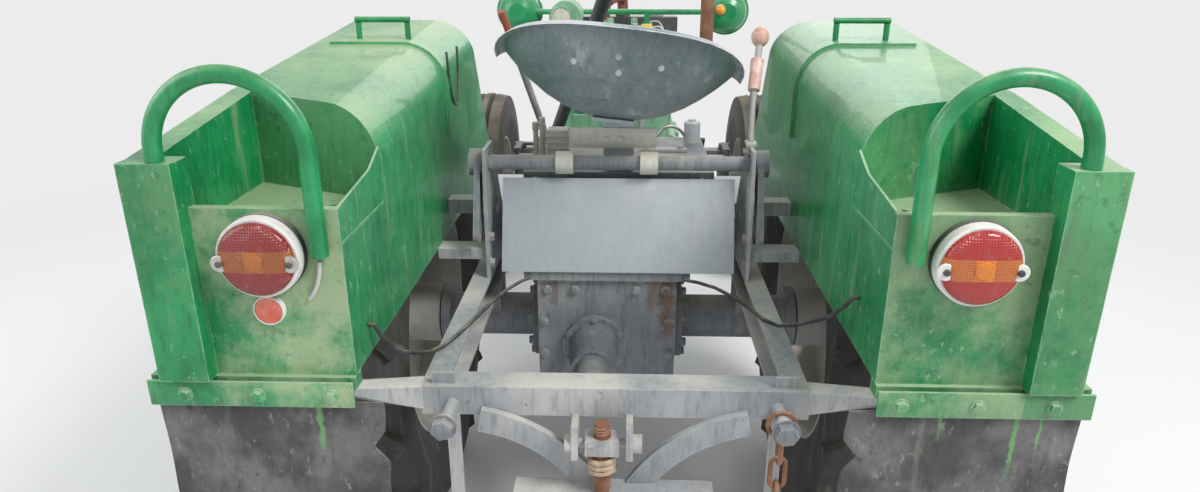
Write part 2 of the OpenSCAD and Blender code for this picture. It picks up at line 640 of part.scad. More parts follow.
// ENGINE AND FRONT END
module engine() place("#5fae7e") {
    y0 = engine_y;
    y1 = engine_y + engine_l;
    // Sump, crankcase, cylinder block and head
    translate([0, y0 + 60, 0]) rotate([-90, 0, 0]) linear_extrude(engine_l - 90)
        polygon([[-130, -rail_low], [-95, -470], [95, -470], [130, -rail_low]]);
    blk([-150, 150], [y0, y1], [rail_low, 830]);
    blk([-165, 165], [y0, y0 + 18], [rail_low - 60, 900]);
    blk([-118, 118], [y0 + 18, y1 - 12], [830, head_z]);
    for (z = [850:26:head_z - 20]) blk([-130, 130], [y0 + 40, y1 - 30], [z, z + 8]);
    blk([-126, 126], [y0 + 30, y1 - 20], [head_z, head_z + 74]);
    // Two rounded valve covers with their cap nuts
    for (y = cover_ys) {
        translate([0, y, head_z + 74]) rotate([90, 0, 90]) translate([0, 0, -78]) linear_extrude(156) rocker_profile();
        for (x = [-45, 45]) translate([x, y, head_z + 70]) cylinder(d = 24, h = 74);
    }
    // Filler neck, water neck and injectors
    translate([84, y0 + 60, head_z + 70]) cylinder(d = 52, h = 56);
    translate([-70, y1 - 52, head_z + 70]) cylinder(d = 64, h = 60);
    for (y = cover_ys) translate([104, y, head_z + 70]) cylinder(d = 20, h = 60);
    // Injection pump with its four unions, starter and oil filter
    blk([150, 214], [y0 + 190, y0 + 400], [700, 800]);
    for (i = [0:3]) translate([182, y0 + 220 + i * 50, 798]) cylinder(d = 22, h = 34);
    bar_y([188, y0 + 10, 752], 168, 84);
    bar_y([172, y0 + 10, 806], 128, 46);
    translate([-190, y1 - 150, 700]) cylinder(d = 84, h = 150);
    blk([-190, -148], [y1 - 172, y1 - 128], [800, 846]);
    // Finned air canister at the back, on its bracket
    difference() {
        bar_y([canister_x, y0 - 20, canister_z], 180, 105);
        for (y = [y0 + 10:24:y0 + 120]) difference() {
            bar_y([canister_x, y, canister_z], 8, 107);
            bar_y([canister_x, y - 1, canister_z], 10, 93);
        }
    }
    blk([canister_x - 20, canister_x + 20], [y0 + 40, y0 + 120], [head_z + 60, canister_z]);
    blk([canister_x - 20, -110], [y0 + 40, y0 + 120], [head_z + 30, head_z + 74]);
    // Feet on the rails
    both() for (y = [y0 + 80, y1 - 140]) blk([140, front_rail_x], [y, y + 60], [rail_top, rail_top + 16]);
    bar_y([0, y1 - 12, fan_z], fan_y - y1 + 6, 50);
    bar_y([0, y1 - 12, fan_z], fan_y - y1 + 28, 20);
    bar_y([0, y1, crank_z], 44, 150);
}
// Section of a valve cover, a low arch drawn in Y and Z.
module rocker_profile() {
    intersection() {
        translate([0, -28]) circle(r = 72);
        translate([-58, -20]) square([116, 90]);
    }
}
module fan() place("#4c5456") {
    difference() {
        union() {
            bar_y([0, fan_y, fan_z], 12, 110);
            for (a = [0:60:300]) translate([0, fan_y + 6, fan_z]) rotate([0, a, 0]) translate([-30, -2, 40])
                rotate([0, 0, 25]) cube([60, 4, 130]);
        }
        bar_y([0, fan_y - 1, fan_z], 14, 20 + 2 * fit);
    }
}
module radiator() place("#3b4043") {
    blk([-210, 210], [1500, 1570], [rail_top, 1120]);
    blk([-225, 225], [1490, 1580], [1120, 1180]);
    bar([0, 1535, 1180], [0, 1535, 1200], 60);
}
module exhaust() place("#6e5040") {
    bar([294, 960, 1066], [294, 960, 1540], 46);
    bar_x([186, 960, 1086], 108, 40);
    bar_y([186, 910, 1086], 350, 52);
    for (y = cover_ys) bar_x([126, y, 1086], 60, 38);
}
module headlamps() place("#1e8f4c") {
    both() translate([380, 1080, 1225]) rotate([-90, 0, 0]) rotate_extrude()
        polygon([[0, 0], [30, 0], [48, 8], [64, 24], [74, 46], [80, 74], [84, 74], [84, 92], [0, 92]]);
    bar_x([-334, 1113, 1225], 668, 20);
    for (x = [-100, 80]) blk([x, x + 20], [1103, 1117], [head_z + 74, 1225]);
}
module alternator() place("#7d8183") {
    bar_y([-205, 1210, 960], 150, 130);
    bar_y([-205, 1360, 960], 26, 84);
    blk([-150, -130 - gap], [1240, 1330], [930, 960]);
}
// A tube of round section through the points.
module tube(pts, d) {
    n = 10;
    k = len(pts);
    function along(i) = let (v = pts[min(i + 1, k - 1)] - pts[max(i - 1, 0)]) v / norm(v);
    function ring(i) = let (t = along(i), c = cross(t, [1, 1, 1]), u = c / norm(c), v = cross(u, t))
        [for (j = [0:n - 1]) pts[i] + d / 2 * (cos(360 * j / n) * u + sin(360 * j / n) * v)];
    polyhedron([for (i = [0:k - 1]) each ring(i)], concat(
        [[for (j = [0:n - 1]) j]],
        [for (i = [0:k - 2]) for (j = [0:n - 1]) [i * n + j, (i + 1) * n + j, (i + 1) * n + (j + 1) % n]],
        [for (i = [0:k - 2]) for (j = [0:n - 1]) [i * n + j, (i + 1) * n + (j + 1) % n, i * n + (j + 1) % n]],
        [[for (j = [n - 1:-1:0]) (k - 1) * n + j]]));
}
module footboards() place("#6f7376") {
    both() {
        blk([front_rail_x - 20, 430], [440, 760], [rail_top, rail_top + 5]);
        for (y = [470, 700]) blk([front_rail_x, 425], [y, y + 30], [rail_top - 30, rail_top]);
    }
}
module control_levers() place("#8a4f3c") {
    translate([-200, 240, lift_z - 30]) cylinder(d = 36, h = 16);
    bar([-200, 240, lift_z - 20], [-290, 100, 1290], 18);
    translate([60, 318, 720]) cylinder(d = 34, h = 16);
    bar([60, 318, 730], [60, 380, 1080], 20);
}
module pedals() place("#5c6063") {
    both() {
        blk([170, 190], [370, 410], [rail_top, 745]);
        bar([180, 392, 735], [225, 560, 850], 18);
        translate([225, 560, 850]) rotate([-50, 0, 0]) translate([-38, -40, 0]) cube([76, 90, 8]);
    }
}
module hoses() place("#7a3a30") {
    tube([[0, 1535, 1200 + gap], [0, 1535, 1216], [-1, 1528, 1238], [-4, 1510, 1254], [-10, 1484, 1262], [-24, 1446, 1262],
        [-42, 1404, 1258], [-58, 1368, 1248], [-68, 1345, 1228], [-70, 1338, 1204], [-70, 1338, head_z + 130 + gap]], 44);
    tube([[canister_x, 990, canister_z], [canister_x, 1015, canister_z], [-187, 1045, 1215], [-185, 1072, 1190],
        [-180, 1092, 1158], [-172, 1108, 1128], [-158, 1117, 1104], [-142, 1118, 1093], [-126 - gap, 1118, 1093]], 36);
}
module cable_left() place("#3b3c3e") {
    tube([[-fender_in + gap, -690, 824], [-412, -690, 824], [-403, -684, 800], [-392, -664, 766], [-380, -642, 748], [-366, -612, 730],
        [-350, -576, 714], [-334, -536, 706], [-316, -480, 704], [-296, -410, 705], [-272, -330, 708], [-248, -264, 710],
        [-224, -216, 710], [-208, -196, 710], [-208, snout_y - 12 - gap, 710]], 8);
}
module cable_right() place("#3b3c3e") {
    tube([[fender_in - gap, -640, 864], [411, -640, 864], [400, -630, 842], [386, -606, 812], [368, -566, 784], [346, -510, 748],
        [326, -450, 718], [306, -390, 704], [284, -330, 704], [256, -280, 707], [222, -236, 709], [184, -208, 710],
        [156, -196, 710], [156, snout_y - 12 - gap, 710]], 8);
}
chain_wire = 9;
chain_r = 13;
chain_straight = 36;
ring_r = 24;
chain_links = 4;
// Round wire bent through an angle.
module bent_wire(r, angle) {
    rotate([90, 0, 0]) rotate_extrude(angle = angle, $fn = 12) translate([r, 0]) circle(d = chain_wire, $fn = 6);
}
// One long link with its top at z; turn is 0 across the pin and 90 along it.
module link(z, turn) {
    translate([hitch_pin_x, -beam_back - 38, z - chain_r - chain_wire / 2]) rotate([0, 0, turn]) {
        bent_wire(chain_r, 180);
        translate([0, 0, -chain_straight]) rotate([0, 180, 0]) bent_wire(chain_r, 180);
        for (x = [-chain_r, chain_r]) translate([x, 0, -chain_straight]) cylinder(d = chain_wire, h = chain_straight, $fn = 6);
    }
}
module chain() place("#8a5238") {
    ring_top = hitch_pin_z + 11 + gap + chain_wire;
    translate([hitch_pin_x, -beam_back - 38, ring_top - chain_wire / 2 - ring_r]) bent_wire(ring_r, 360);
    first = ring_top - 2 * ring_r + chain_wire + gap;
    for (i = [0:chain_links - 1]) link(first - i * (chain_straight + 2 * chain_r - chain_wire - gap), 90 * ((i + 1) % 2));
}

frame();
rear_beam();
hitch_braces();
hitch_screw();
gearbox();
axle_housing();
pto_shaft();
back_panel();
lift_shaft();
lift_bearings();
seat_pan();
seat_bracket();
fender_left();
fender_right();
grab_handle_left();
grab_handle_right();
tail_lamp_left();
tail_lamp_right();
reflector();
mud_flap_left();
mud_flap_right();
rear_tyre_left();
rear_tyre_right();
rear_rim_left();
rear_rim_right();
front_tyre_left();
front_tyre_right();
front_rim_left();
front_rim_right();
front_axle();
knuckle_left();
knuckle_right();
tie_rod();
drag_link();
steering_arm();
steering_column();
steering_wheel();
engine();
fan();
radiator();
exhaust();
headlamps();
footboards();
control_levers();
alternator();
hoses();
pedals();
cable_left();
cable_right();
chain();
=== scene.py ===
import json
import math
import random

import bmesh
import bpy
from mathutils import Matrix, Vector


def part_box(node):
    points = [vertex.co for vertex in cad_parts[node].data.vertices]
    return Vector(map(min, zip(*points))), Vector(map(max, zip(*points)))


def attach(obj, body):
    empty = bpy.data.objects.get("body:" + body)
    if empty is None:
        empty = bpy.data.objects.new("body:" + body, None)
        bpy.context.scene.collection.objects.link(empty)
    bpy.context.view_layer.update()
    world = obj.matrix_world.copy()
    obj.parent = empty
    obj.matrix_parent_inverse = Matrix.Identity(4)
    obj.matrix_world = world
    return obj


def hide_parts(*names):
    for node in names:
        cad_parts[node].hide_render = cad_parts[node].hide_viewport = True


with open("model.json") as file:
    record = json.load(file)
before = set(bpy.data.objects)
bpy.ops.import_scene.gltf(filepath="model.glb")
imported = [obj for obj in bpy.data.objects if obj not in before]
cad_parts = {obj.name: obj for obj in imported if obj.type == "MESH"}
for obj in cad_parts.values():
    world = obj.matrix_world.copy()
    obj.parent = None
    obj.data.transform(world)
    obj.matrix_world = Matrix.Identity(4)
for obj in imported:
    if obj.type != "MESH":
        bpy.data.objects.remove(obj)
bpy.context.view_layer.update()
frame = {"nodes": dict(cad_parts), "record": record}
record = frame["record"]
nodes = frame["nodes"]
random.seed(41)
print("frame loaded:", len(nodes), "nodes")

# The photograph's width and the lens in its pixels, the sensor in mm, the place in metres, turns in degrees
photoCamera = {"width": 1200, "focal": 800, "sensor": 36.0, "place": (0.014, -2.59, 1.42), "down": 20.0,
               "left": 1.8}


def addCamera():
    s = photoCamera
    data = bpy.data.cameras.new("photoCamera")
    data.sensor_width = s["sensor"]
    data.lens = s["sensor"] * s["focal"] / s["width"]
    cam = bpy.data.objects.new("photoCamera", data)
    cam.location = s["place"]
    cam.rotation_euler = (math.radians(90 - s["down"]), 0, math.radians(s["left"]))
    bpy.context.scene.collection.objects.link(cam)
    bpy.context.scene.camera = cam


addCamera()
print("camera set")


# Helpers for materials
def plug(tree, socket, value):
    # an output is linked, a plain value goes on the socket itself
    if hasattr(value, "links"):
        tree.links.new(value, socket)
    elif socket.type == "RGBA":
        socket.default_value = (*value[:3], 1)
    else:
        socket.default_value = value


def setSockets(tree, node, sockets):
    for name, value in sockets.items():
        plug(tree, node.inputs[name], value)


def shaderNode(tree, kind, sockets=None, **settings):
    node = tree.nodes.new(kind)
    for name, value in settings.items():
        setattr(node, name, value)
    setSockets(tree, node, sockets or {})
    return node


def newMaterial(name):
    mat = bpy.data.materials.new(name)
    mat.use_nodes = True
    tree = mat.node_tree
    return mat, tree, tree.nodes["Principled BSDF"]


def mixColour(tree, factor, first, second):
    node = shaderNode(tree, "ShaderNodeMix", data_type="RGBA")
    for name, value in (("Factor_Float", factor), ("A_Color", first), ("B_Color", second)):
        plug(tree, next(i for i in node.inputs if i.identifier == name), value)
    return next(o for o in node.outputs if o.identifier == "Result_Color")


def maths(tree, operation, first, second=0.0):
    node = shaderNode(tree, "ShaderNodeMath", operation=operation)
    plug(tree, node.inputs[0], first)
    plug(tree, node.inputs[1], second)
    return node.outputs[0]


def product(tree, first, *others):
    for other in others:
        first = maths(tree, "MULTIPLY", first, other)
    return first


def total(tree, first, second):
    return maths(tree, "ADD", first, second)


def less(tree, first, second):
    return maths(tree, "SUBTRACT", first, second)


def larger(tree, first, second):
    return maths(tree, "MAXIMUM", first, second)


def isBelow(tree, value, limit):
    return maths(tree, "LESS_THAN", value, limit)


def stepUp(tree, value, low, high):
    # 0 below low, 1 above high, and smooth between them
    node = shaderNode(tree, "ShaderNodeMapRange", {"Value": value, "From Min": low, "From Max": high},
                      interpolation_type="SMOOTHSTEP")
    return node.outputs["Result"]


def objectCoords(tree):
    return shaderNode(tree, "ShaderNodeTexCoord").outputs["Object"]


def splitAxes(tree, vector):
    return shaderNode(tree, "ShaderNodeSeparateXYZ", {"Vector": vector}).outputs


def noiseAt(tree, coords, scale, detail, rough, stretch=(1, 1, 1), shift=(0, 0, 0)):
    mapping = shaderNode(tree, "ShaderNodeMapping", {"Vector": coords, "Scale": stretch, "Location": shift})
    noise = shaderNode(tree, "ShaderNodeTexNoise",
                       {"Vector": mapping.outputs[0], "Scale": scale, "Detail": detail, "Roughness": rough})
    return noise.outputs["Fac"]


def bumpFrom(tree, height, strength, distance):
    bump = shaderNode(tree, "ShaderNodeBump", {"Height": height, "Strength": strength, "Distance": distance})
    return bump.outputs[0]


# Worn paint, which all finishes are made from
paintDefaults = {
    "main": (0.4, 0.4, 0.4), "faded": (0.5, 0.5, 0.5), "deep": (0.2, 0.2, 0.2),
    "dust": (0.55, 0.48, 0.36), "dustAmount": 0.5, "rust": (0.16, 0.06, 0.025), "rustAmount": 0.3,
    "rough": 0.4, "roughSpread": 0.25, "metallic": 0.0, "coat": 0.0, "bump": 0.25, "patch": 3.0,
    "brush": (6, 6, 1.2), "streak": 0.35, "backDust": 0.0, "edge": (0.6, 0.6, 0.6), "edgeWear": 0.0,
    "flecks": 0.0, "marks": (), "upper": None, "core": None,
}
paintNoise = {
    "patches": {"detail": 5, "rough": 0.6},
    "brush": {"scale": 14, "detail": 6, "rough": 0.65},
    "fine": {"scale": 160, "detail": 5, "rough": 0.7},
    "spots": {"scale": 38, "detail": 8, "rough": 0.72, "shift": (3.1, 1.7, 0.4)},
    "runs": {"scale": 22, "detail": 5, "rough": 0.6, "stretch": (1, 1, 0.12), "shift": (0.3, 5, 1)},
    "clouds": {"scale": 5, "detail": 6, "rough": 0.7, "shift": (2.2, 0.4, 7.1)},
    "flecks": {"scale": 75, "detail": 5, "rough": 0.7, "stretch": (1, 1, 0.55), "shift": (5.2, 0.1, 3.3)},
    "blots": {"scale": 30, "detail": 6, "rough": 0.7, "shift": (1.2, 8.1, 0.3)},
}
# Where each layer starts and where it is full, on its noise or on the way that a face looks
paintSteps = {
    "faded": (0.38, 0.66), "deep": (0.45, 0.7), "lookUp": (0.25, 0.95), "dust": (0.3, 0.7),
    "stains": (0.56, 0.72), "lookBack": (0.6, 0.95), "clouds": (0.36, 0.58), "flecks": (0.60, 0.68),
    "blots": (0.60, 0.66), "markBack": (0.3, 0.6), "rust": (0.66, 0.70), "edgeTurn": (0.02, 0.14),
    "edgeSpots": (0.36, 0.56),
}
# How much the dust roughens, and how far brush marks, grain and rust chips rise or sink
paintRelief = {"dustRough": 0.4, "brush": 0.5, "fine": 0.18, "chips": 0.3, "distance": 0.004,
               "edgeRadius": 0.0035}
rearPlates = {"halfWidth": 0.652, "frontY": -1.38, "trayTop": 1.06, "shadedRightShare": 0.5, "elsewhere": 0.25}


def paintPatterns(tree, s):
    coords = objectCoords(tree)
    normal = shaderNode(tree, "ShaderNodeNewGeometry").outputs["Normal"]
    on = {"coords": coords, "normal": normal}
    on["place"] = splitAxes(tree, coords)
    on["facing"] = splitAxes(tree, normal)
    on["patches"] = noiseAt(tree, coords, scale=s["patch"], **paintNoise["patches"])
    on["brush"] = noiseAt(tree, coords, stretch=s["brush"], **paintNoise["brush"])
    for name in ("fine", "spots", "runs"):
        on[name] = noiseAt(tree, coords, **paintNoise[name])
    return on


def looksBack(tree, on, steps):
    return stepUp(tree, product(tree, on["facing"]["Y"], -1.0), *paintSteps[steps])


def rearPlateDustAndShade(tree, s, on):
    # clouds of dust on the rear plates between the posts, and thin elsewhere; the right plate gets a thinner
    # layer so that it stays darker, which is painted shade
    x, y = on["place"]["X"], on["place"]["Y"]
    between = isBelow(tree, maths(tree, "ABSOLUTE", x), rearPlates["halfWidth"])
    between = product(tree, between, isBelow(tree, y, rearPlates["frontY"]))
    # the right plate keeps only part of the pale layer: painted shade
    share = product(tree, isBelow(tree, x, 0.0), 1.0 - rearPlates["shadedRightShare"])
    between = product(tree, between, total(tree, share, rearPlates["shadedRightShare"]))
    between = total(tree, product(tree, between, 1.0 - rearPlates["elsewhere"]), rearPlates["elsewhere"])
    clouds = stepUp(tree, noiseAt(tree, on["coords"], **paintNoise["clouds"]), *paintSteps["clouds"])
    return product(tree, looksBack(tree, on, "lookBack"), between, clouds, s["backDust"])


def dustLayer(tree, s, on):
    # dust that lies on faces that look up, and stains that run down
    up = stepUp(tree, on["facing"]["Z"], *paintSteps["lookUp"])
    dusty = product(tree, up, stepUp(tree, on["patches"], *paintSteps["dust"]), s["dustAmount"])
    stains = product(tree, stepUp(tree, on["runs"], *paintSteps["stains"]), s["dustAmount"] * 0.5)
    dusty = larger(tree, dusty, stains)
    if s["backDust"]:
        # pale dust on the rear plates, with painted shade that keeps the right one darker
        dusty = larger(tree, dusty, rearPlateDustAndShade(tree, s, on))
        lowTray = product(tree, up, isBelow(tree, on["place"]["Z"], rearPlates["trayTop"]))
        thick = total(tree, product(tree, on["fine"], 0.5), 0.45)
        dusty = larger(tree, dusty, product(tree, lowTray, thick))
    return dusty


def flecksAndBlots(tree, s, on, colour):
    for name, tint in (("flecks", s["edge"]), ("blots", s["deep"])):
        spread = stepUp(tree, noiseAt(tree, on["coords"], **paintNoise[name]), *paintSteps[name])
        colour = mixColour(tree, product(tree, spread, s["flecks"]), colour, tint)
    return colour


def runMarks(tree, s, on, colour):
    # stripes that run down a face that looks back: middle, half width, low and high end, colour, strength
    x, z = on["place"]["X"], on["place"]["Z"]
    for middle, half, low, high, tint, strength in s["marks"]:
        wobble = less(tree, on["spots"], 0.5)
        off = total(tree, less(tree, x, middle), product(tree, wobble, half * 3.5))
        mask = less(tree, 1.0, stepUp(tree, maths(tree, "ABSOLUTE", off), half * 0.3, half))
        lowEnd = total(tree, z, product(tree, wobble, 0.12))
        mask = product(tree, mask, stepUp(tree, lowEnd, low, low + 0.05), isBelow(tree, z, high))
        mask = product(tree, mask, looksBack(tree, on, "markBack"), strength)
        colour = mixColour(tree, mask, colour, tint)
    return colour


def upperPart(tree, s, on, colour):
    # another colour above a plane that slopes in x
    slope, level, tint = s["upper"]
    height = total(tree, on["place"]["Z"], product(tree, on["place"]["X"], slope))
    return mixColour(tree, stepUp(tree, height, level, level + 0.002), colour, tint)


def corePart(tree, s, on, colour):
    # another colour within reach of an upright axis
    coreX, coreY, reach, tint = s["core"]
    squares = [maths(tree, "POWER", less(tree, on["place"][axis], middle), 2.0)
               for axis, middle in (("X", coreX), ("Y", coreY))]
    away = maths(tree, "SQRT", total(tree, *squares))
    return mixColour(tree, isBelow(tree, away, reach), colour, tint)


def wornEdges(tree, s, on, colour):
    # pale paint where a rounded normal turns away from the real one
    rounded = shaderNode(tree, "ShaderNodeBevel", {"Radius": paintRelief["edgeRadius"]}, samples=4).outputs[0]
    match = shaderNode(tree, "ShaderNodeVectorMath", operation="DOT_PRODUCT")
    plug(tree, match.inputs[0], rounded)
    plug(tree, match.inputs[1], on["normal"])
    worn = stepUp(tree, less(tree, 1.0, match.outputs["Value"]), *paintSteps["edgeTurn"])
    spots = stepUp(tree, on["spots"], *paintSteps["edgeSpots"])
    return mixColour(tree, product(tree, worn, spots, s["edgeWear"]), colour, s["edge"])


def wornPaint(name, **changes):
    s = {**paintDefaults, **changes}
    mat, tree, bsdf = newMaterial(name)
    on = paintPatterns(tree, s)
    colour = mixColour(tree, stepUp(tree, on["patches"], *paintSteps["faded"]), s["main"], s["faded"])
    streaks = product(tree, stepUp(tree, on["brush"], *paintSteps["deep"]), s["streak"])
    colour = mixColour(tree, streaks, colour, s["deep"])
    dusty = dustLayer(tree, s, on)
    colour = mixColour(tree, dusty, colour, s["dust"])
    if s["flecks"]:
        colour = flecksAndBlots(tree, s, on, colour)
    colour = runMarks(tree, s, on, colour)
    if s["upper"]:
        colour = upperPart(tree, s, on, colour)
    if s["core"]:
        colour = corePart(tree, s, on, colour)
    chips = product(tree, stepUp(tree, on["spots"], *paintSteps["rust"]), s["rustAmount"])
    colour = mixColour(tree, chips, colour, s["rust"])
    if s["edgeWear"]:
        colour = wornEdges(tree, s, on, colour)

    rough = total(tree, product(tree, on["brush"], s["roughSpread"]), s["rough"])
    rough = total(tree, rough, product(tree, larger(tree, dusty, chips), paintRelief["dustRough"]))
    rise = [product(tree, on[name], paintRelief[name]) for name in ("brush", "fine")]
    height = less(tree, total(tree, *rise), product(tree, chips, paintRelief["chips"]))
    normal = bumpFrom(tree, height, s["bump"], paintRelief["distance"])
    setSockets(tree, bsdf, {"Base Color": colour, "Roughness": rough, "Metallic": s["metallic"],
                            "Coat Weight": s["coat"], "Normal": normal})
    return mat


# Marks are given as in runMarks: rust that runs down the gearbox, and green paint that dripped on the flaps
gearboxRust = ((0.118, 0.030, 0.53, 0.70, (0.13, 0.065, 0.028), 0.85),
               (0.082, 0.016, 0.60, 0.70, (0.15, 0.08, 0.04), 0.6),
               (-0.150, 0.014, 0.60, 0.70, (0.11, 0.06, 0.035), 0.5))
flapDrips = [(middle, half, low, 0.722, (0.16, 0.38, 0.14), 0.8) for middle, half, low in
             ((-0.487, 0.007, 0.62), (0.530, 0.004, 0.66), (0.652, 0.006, 0.60), (0.690, 0.004, 0.64))]
hitchAxis = {"x": -0.020, "y": -1.384, "core": 0.0155}

# One finish for each material slot of the record
finishes = {
    "grey_frame": wornPaint(
        "greyFrame", main=(0.31, 0.325, 0.345), faded=(0.50, 0.50, 0.49), deep=(0.14, 0.15, 0.17),
        dust=(0.66, 0.62, 0.54), dustAmount=0.85, rustAmount=0.6, rough=0.38, streak=0.5,
        edge=(0.62, 0.61, 0.57), edgeWear=0.7),
    "grey_casting": wornPaint(
        "greyCasting", main=(0.17, 0.185, 0.21), faded=(0.29, 0.30, 0.31), deep=(0.08, 0.085, 0.095),
        dustAmount=0.5, rustAmount=0.9, rough=0.42, bump=0.45, patch=5, streak=0.5,
        edge=(0.45, 0.44, 0.41), edgeWear=0.7, marks=gearboxRust),
    "grey_plate": wornPaint(
        "greyPlate", main=(0.40, 0.43, 0.46), faded=(0.50, 0.52, 0.54), deep=(0.26, 0.28, 0.31),
        dustAmount=0.3, rustAmount=0.35, rough=0.36, streak=0.2),
    "pale_plate": wornPaint(
        "palePlate", main=(0.55, 0.53, 0.48), faded=(0.66, 0.64, 0.58), deep=(0.33, 0.32, 0.29),
        dustAmount=0.5, rustAmount=0.4, rough=0.5),
    "seat_grey": wornPaint(
        "seatGrey", main=(0.14, 0.185, 0.20), faded=(0.26, 0.30, 0.32), deep=(0.06, 0.12, 0.10),
        dust=(0.56, 0.56, 0.57), dustAmount=0.95, rustAmount=0.35, rough=0.26, streak=0.4, bump=0.3,
        edge=(0.62, 0.62, 0.62), edgeWear=0.8, flecks=0.25),
    "green_paint": wornPaint(
        "greenPaint", main=(0.003, 0.200, 0.056), faded=(0.017, 0.31, 0.100), deep=(0.002, 0.080, 0.027),
        dust=(0.42, 0.50, 0.30), dustAmount=0.7, rustAmount=0.4, rough=0.24, streak=0.5, coat=0.2,
        backDust=0.78, bump=0.4, edge=(0.42, 0.62, 0.44), edgeWear=0.75, flecks=0.4),
    "green_pipe": wornPaint(
        "greenPipe", main=(0.005, 0.21, 0.06), faded=(0.022, 0.31, 0.11), deep=(0.003, 0.085, 0.028),
        dust=(0.40, 0.46, 0.26), dustAmount=0.4, rustAmount=0.3, rough=0.25, coat=0.2, patch=12),
    "lamp_lens": wornPaint(
        "lampLens", main=(0.42, 0.02, 0.012), faded=(0.5, 0.04, 0.02), deep=(0.25, 0.01, 0.01),
        dustAmount=0.1, rustAmount=0.0, rough=0.15, coat=0.5, bump=0.05),
    "flap_rubber": wornPaint(
        "flapRubber", main=(0.06, 0.06, 0.06), faded=(0.17, 0.17, 0.165), deep=(0.025, 0.024, 0.022),
        dust=(0.34, 0.30, 0.24), dustAmount=0.7, rustAmount=0.0, rough=0.6, bump=0.6, brush=(5, 5, 2),
        patch=7, edge=(0.34, 0.34, 0.33), flecks=0.5, marks=flapDrips),
    "tyre": wornPaint(
        "tyreRubber", main=(0.035, 0.034, 0.033), faded=(0.09, 0.085, 0.075), deep=(0.015, 0.015, 0.015),
        dust=(0.33, 0.27, 0.19), dustAmount=0.7, rustAmount=0.0, rough=0.65, bump=0.5),
    "rim_paint": wornPaint(
        "rimPaint", main=(0.36, 0.36, 0.34), faded=(0.47, 0.46, 0.42), deep=(0.2, 0.2, 0.19),
        dustAmount=0.5, rustAmount=0.9, rough=0.45),
    "bare_steel": wornPaint(
        "bareSteel", main=(0.36, 0.35, 0.34), faded=(0.48, 0.46, 0.44), deep=(0.2, 0.17, 0.15),
        dustAmount=0.2, rustAmount=0.8, rough=0.3, metallic=0.8),
    "rusty_iron": wornPaint(
        "rustyIron", main=(0.20, 0.085, 0.045), faded=(0.32, 0.16, 0.09), deep=(0.08, 0.035, 0.02),
        dust=(0.42, 0.33, 0.25), dustAmount=0.45, rustAmount=0.9, rough=0.6, bump=0.7, patch=18),
    "dark_paint": wornPaint(
        "darkPaint", main=(0.045, 0.05, 0.055), faded=(0.10, 0.10, 0.105), deep=(0.02, 0.02, 0.02),
        dustAmount=0.45, rustAmount=0.5, rough=0.4),
    "wheel_plastic": wornPaint(
        "wheelPlastic", main=(0.02, 0.02, 0.021), faded=(0.05, 0.05, 0.05), deep=(0.01, 0.01, 0.01),
        dustAmount=0.25, rustAmount=0.0, rough=0.35),
    "engine_green": wornPaint(
        "engineGreen", main=(0.19, 0.42, 0.25), faded=(0.34, 0.56, 0.38), deep=(0.05, 0.16, 0.09),
        dustAmount=0.5, rustAmount=0.6, rough=0.42, bump=0.45, patch=7, streak=0.5),
    "lamp_green": wornPaint(
        "lampGreen", main=(0.01, 0.24, 0.08), faded=(0.03, 0.33, 0.13), deep=(0.005, 0.1, 0.04),
        dustAmount=0.3, rustAmount=0.2, rough=0.2, coat=0.3),
    "hose_rubber": wornPaint(
        "hoseRubber", main=(0.20, 0.06, 0.035), faded=(0.28, 0.11, 0.07), deep=(0.08, 0.03, 0.02),
        dustAmount=0.4, rustAmount=0.0, rough=0.6, bump=0.4, patch=20),
    "cable_sheath": wornPaint(
        "cableSheath", main=(0.025, 0.025, 0.026), faded=(0.07, 0.07, 0.07), deep=(0.012, 0.012, 0.012),
        dustAmount=0.4, rustAmount=0.0, rough=0.55, patch=20),
    "lever_paint": wornPaint(
        "leverPaint", main=(0.27, 0.26, 0.26), faded=(0.44, 0.42, 0.41), deep=(0.14, 0.11, 0.10),
        dustAmount=0.25, rustAmount=0.9, rough=0.4, patch=20, upper=(0.6, 1.061, (0.38, 0.085, 0.05))),
}
hitchMetal = wornPaint(
    "hitchMetal", main=(0.33, 0.34, 0.35), faded=(0.50, 0.49, 0.48), deep=(0.16, 0.15, 0.14),
    dustAmount=0.6, rustAmount=1.0, rough=0.45, patch=20, streak=0.5,
    core=(hitchAxis["x"], hitchAxis["y"], hitchAxis["core"], (0.24, 0.105, 0.055)))

# Finishes of the added pieces
lampWhite = wornPaint(
    "lampWhite", main=(0.70, 0.70, 0.68), faded=(0.8, 0.8, 0.77), deep=(0.4, 0.4, 0.38), rustAmount=0.3,
    dustAmount=0.5, patch=20)
blackRubber = wornPaint(
    "blackRubber", main=(0.03, 0.032, 0.036), faded=(0.09, 0.095, 0.11), deep=(0.015, 0.015, 0.015),
    rustAmount=0.0, dustAmount=0.5, rough=0.55)
zincPlate = wornPaint(
    "zincPlate", main=(0.5, 0.49, 0.46), faded=(0.62, 0.6, 0.56), deep=(0.3, 0.24, 0.18),
    metallic=0.7, rough=0.35, dustAmount=0.3, rustAmount=0.7, patch=40)
reflectorRed = wornPaint(
    "reflectorFace", main=(0.62, 0.10, 0.06), faded=(0.75, 0.24, 0.17), deep=(0.4, 0.05, 0.03),
    rustAmount=0.0, dustAmount=0.35, rough=0.15, patch=30, coat=0.4)
looseWire = wornPaint(
    "looseWire", main=(0.03, 0.04, 0.035), faded=(0.08, 0.09, 0.08), deep=(0.015, 0.015, 0.015),
    dustAmount=0.3, rustAmount=0.2, rough=0.5, patch=20)
yellowCap = wornPaint(
    "yellowCap", main=(0.70, 0.48, 0.03), faded=(0.8, 0.62, 0.12), deep=(0.4, 0.25, 0.02),
    rustAmount=0.0, dustAmount=0.4, rough=0.4, patch=25)
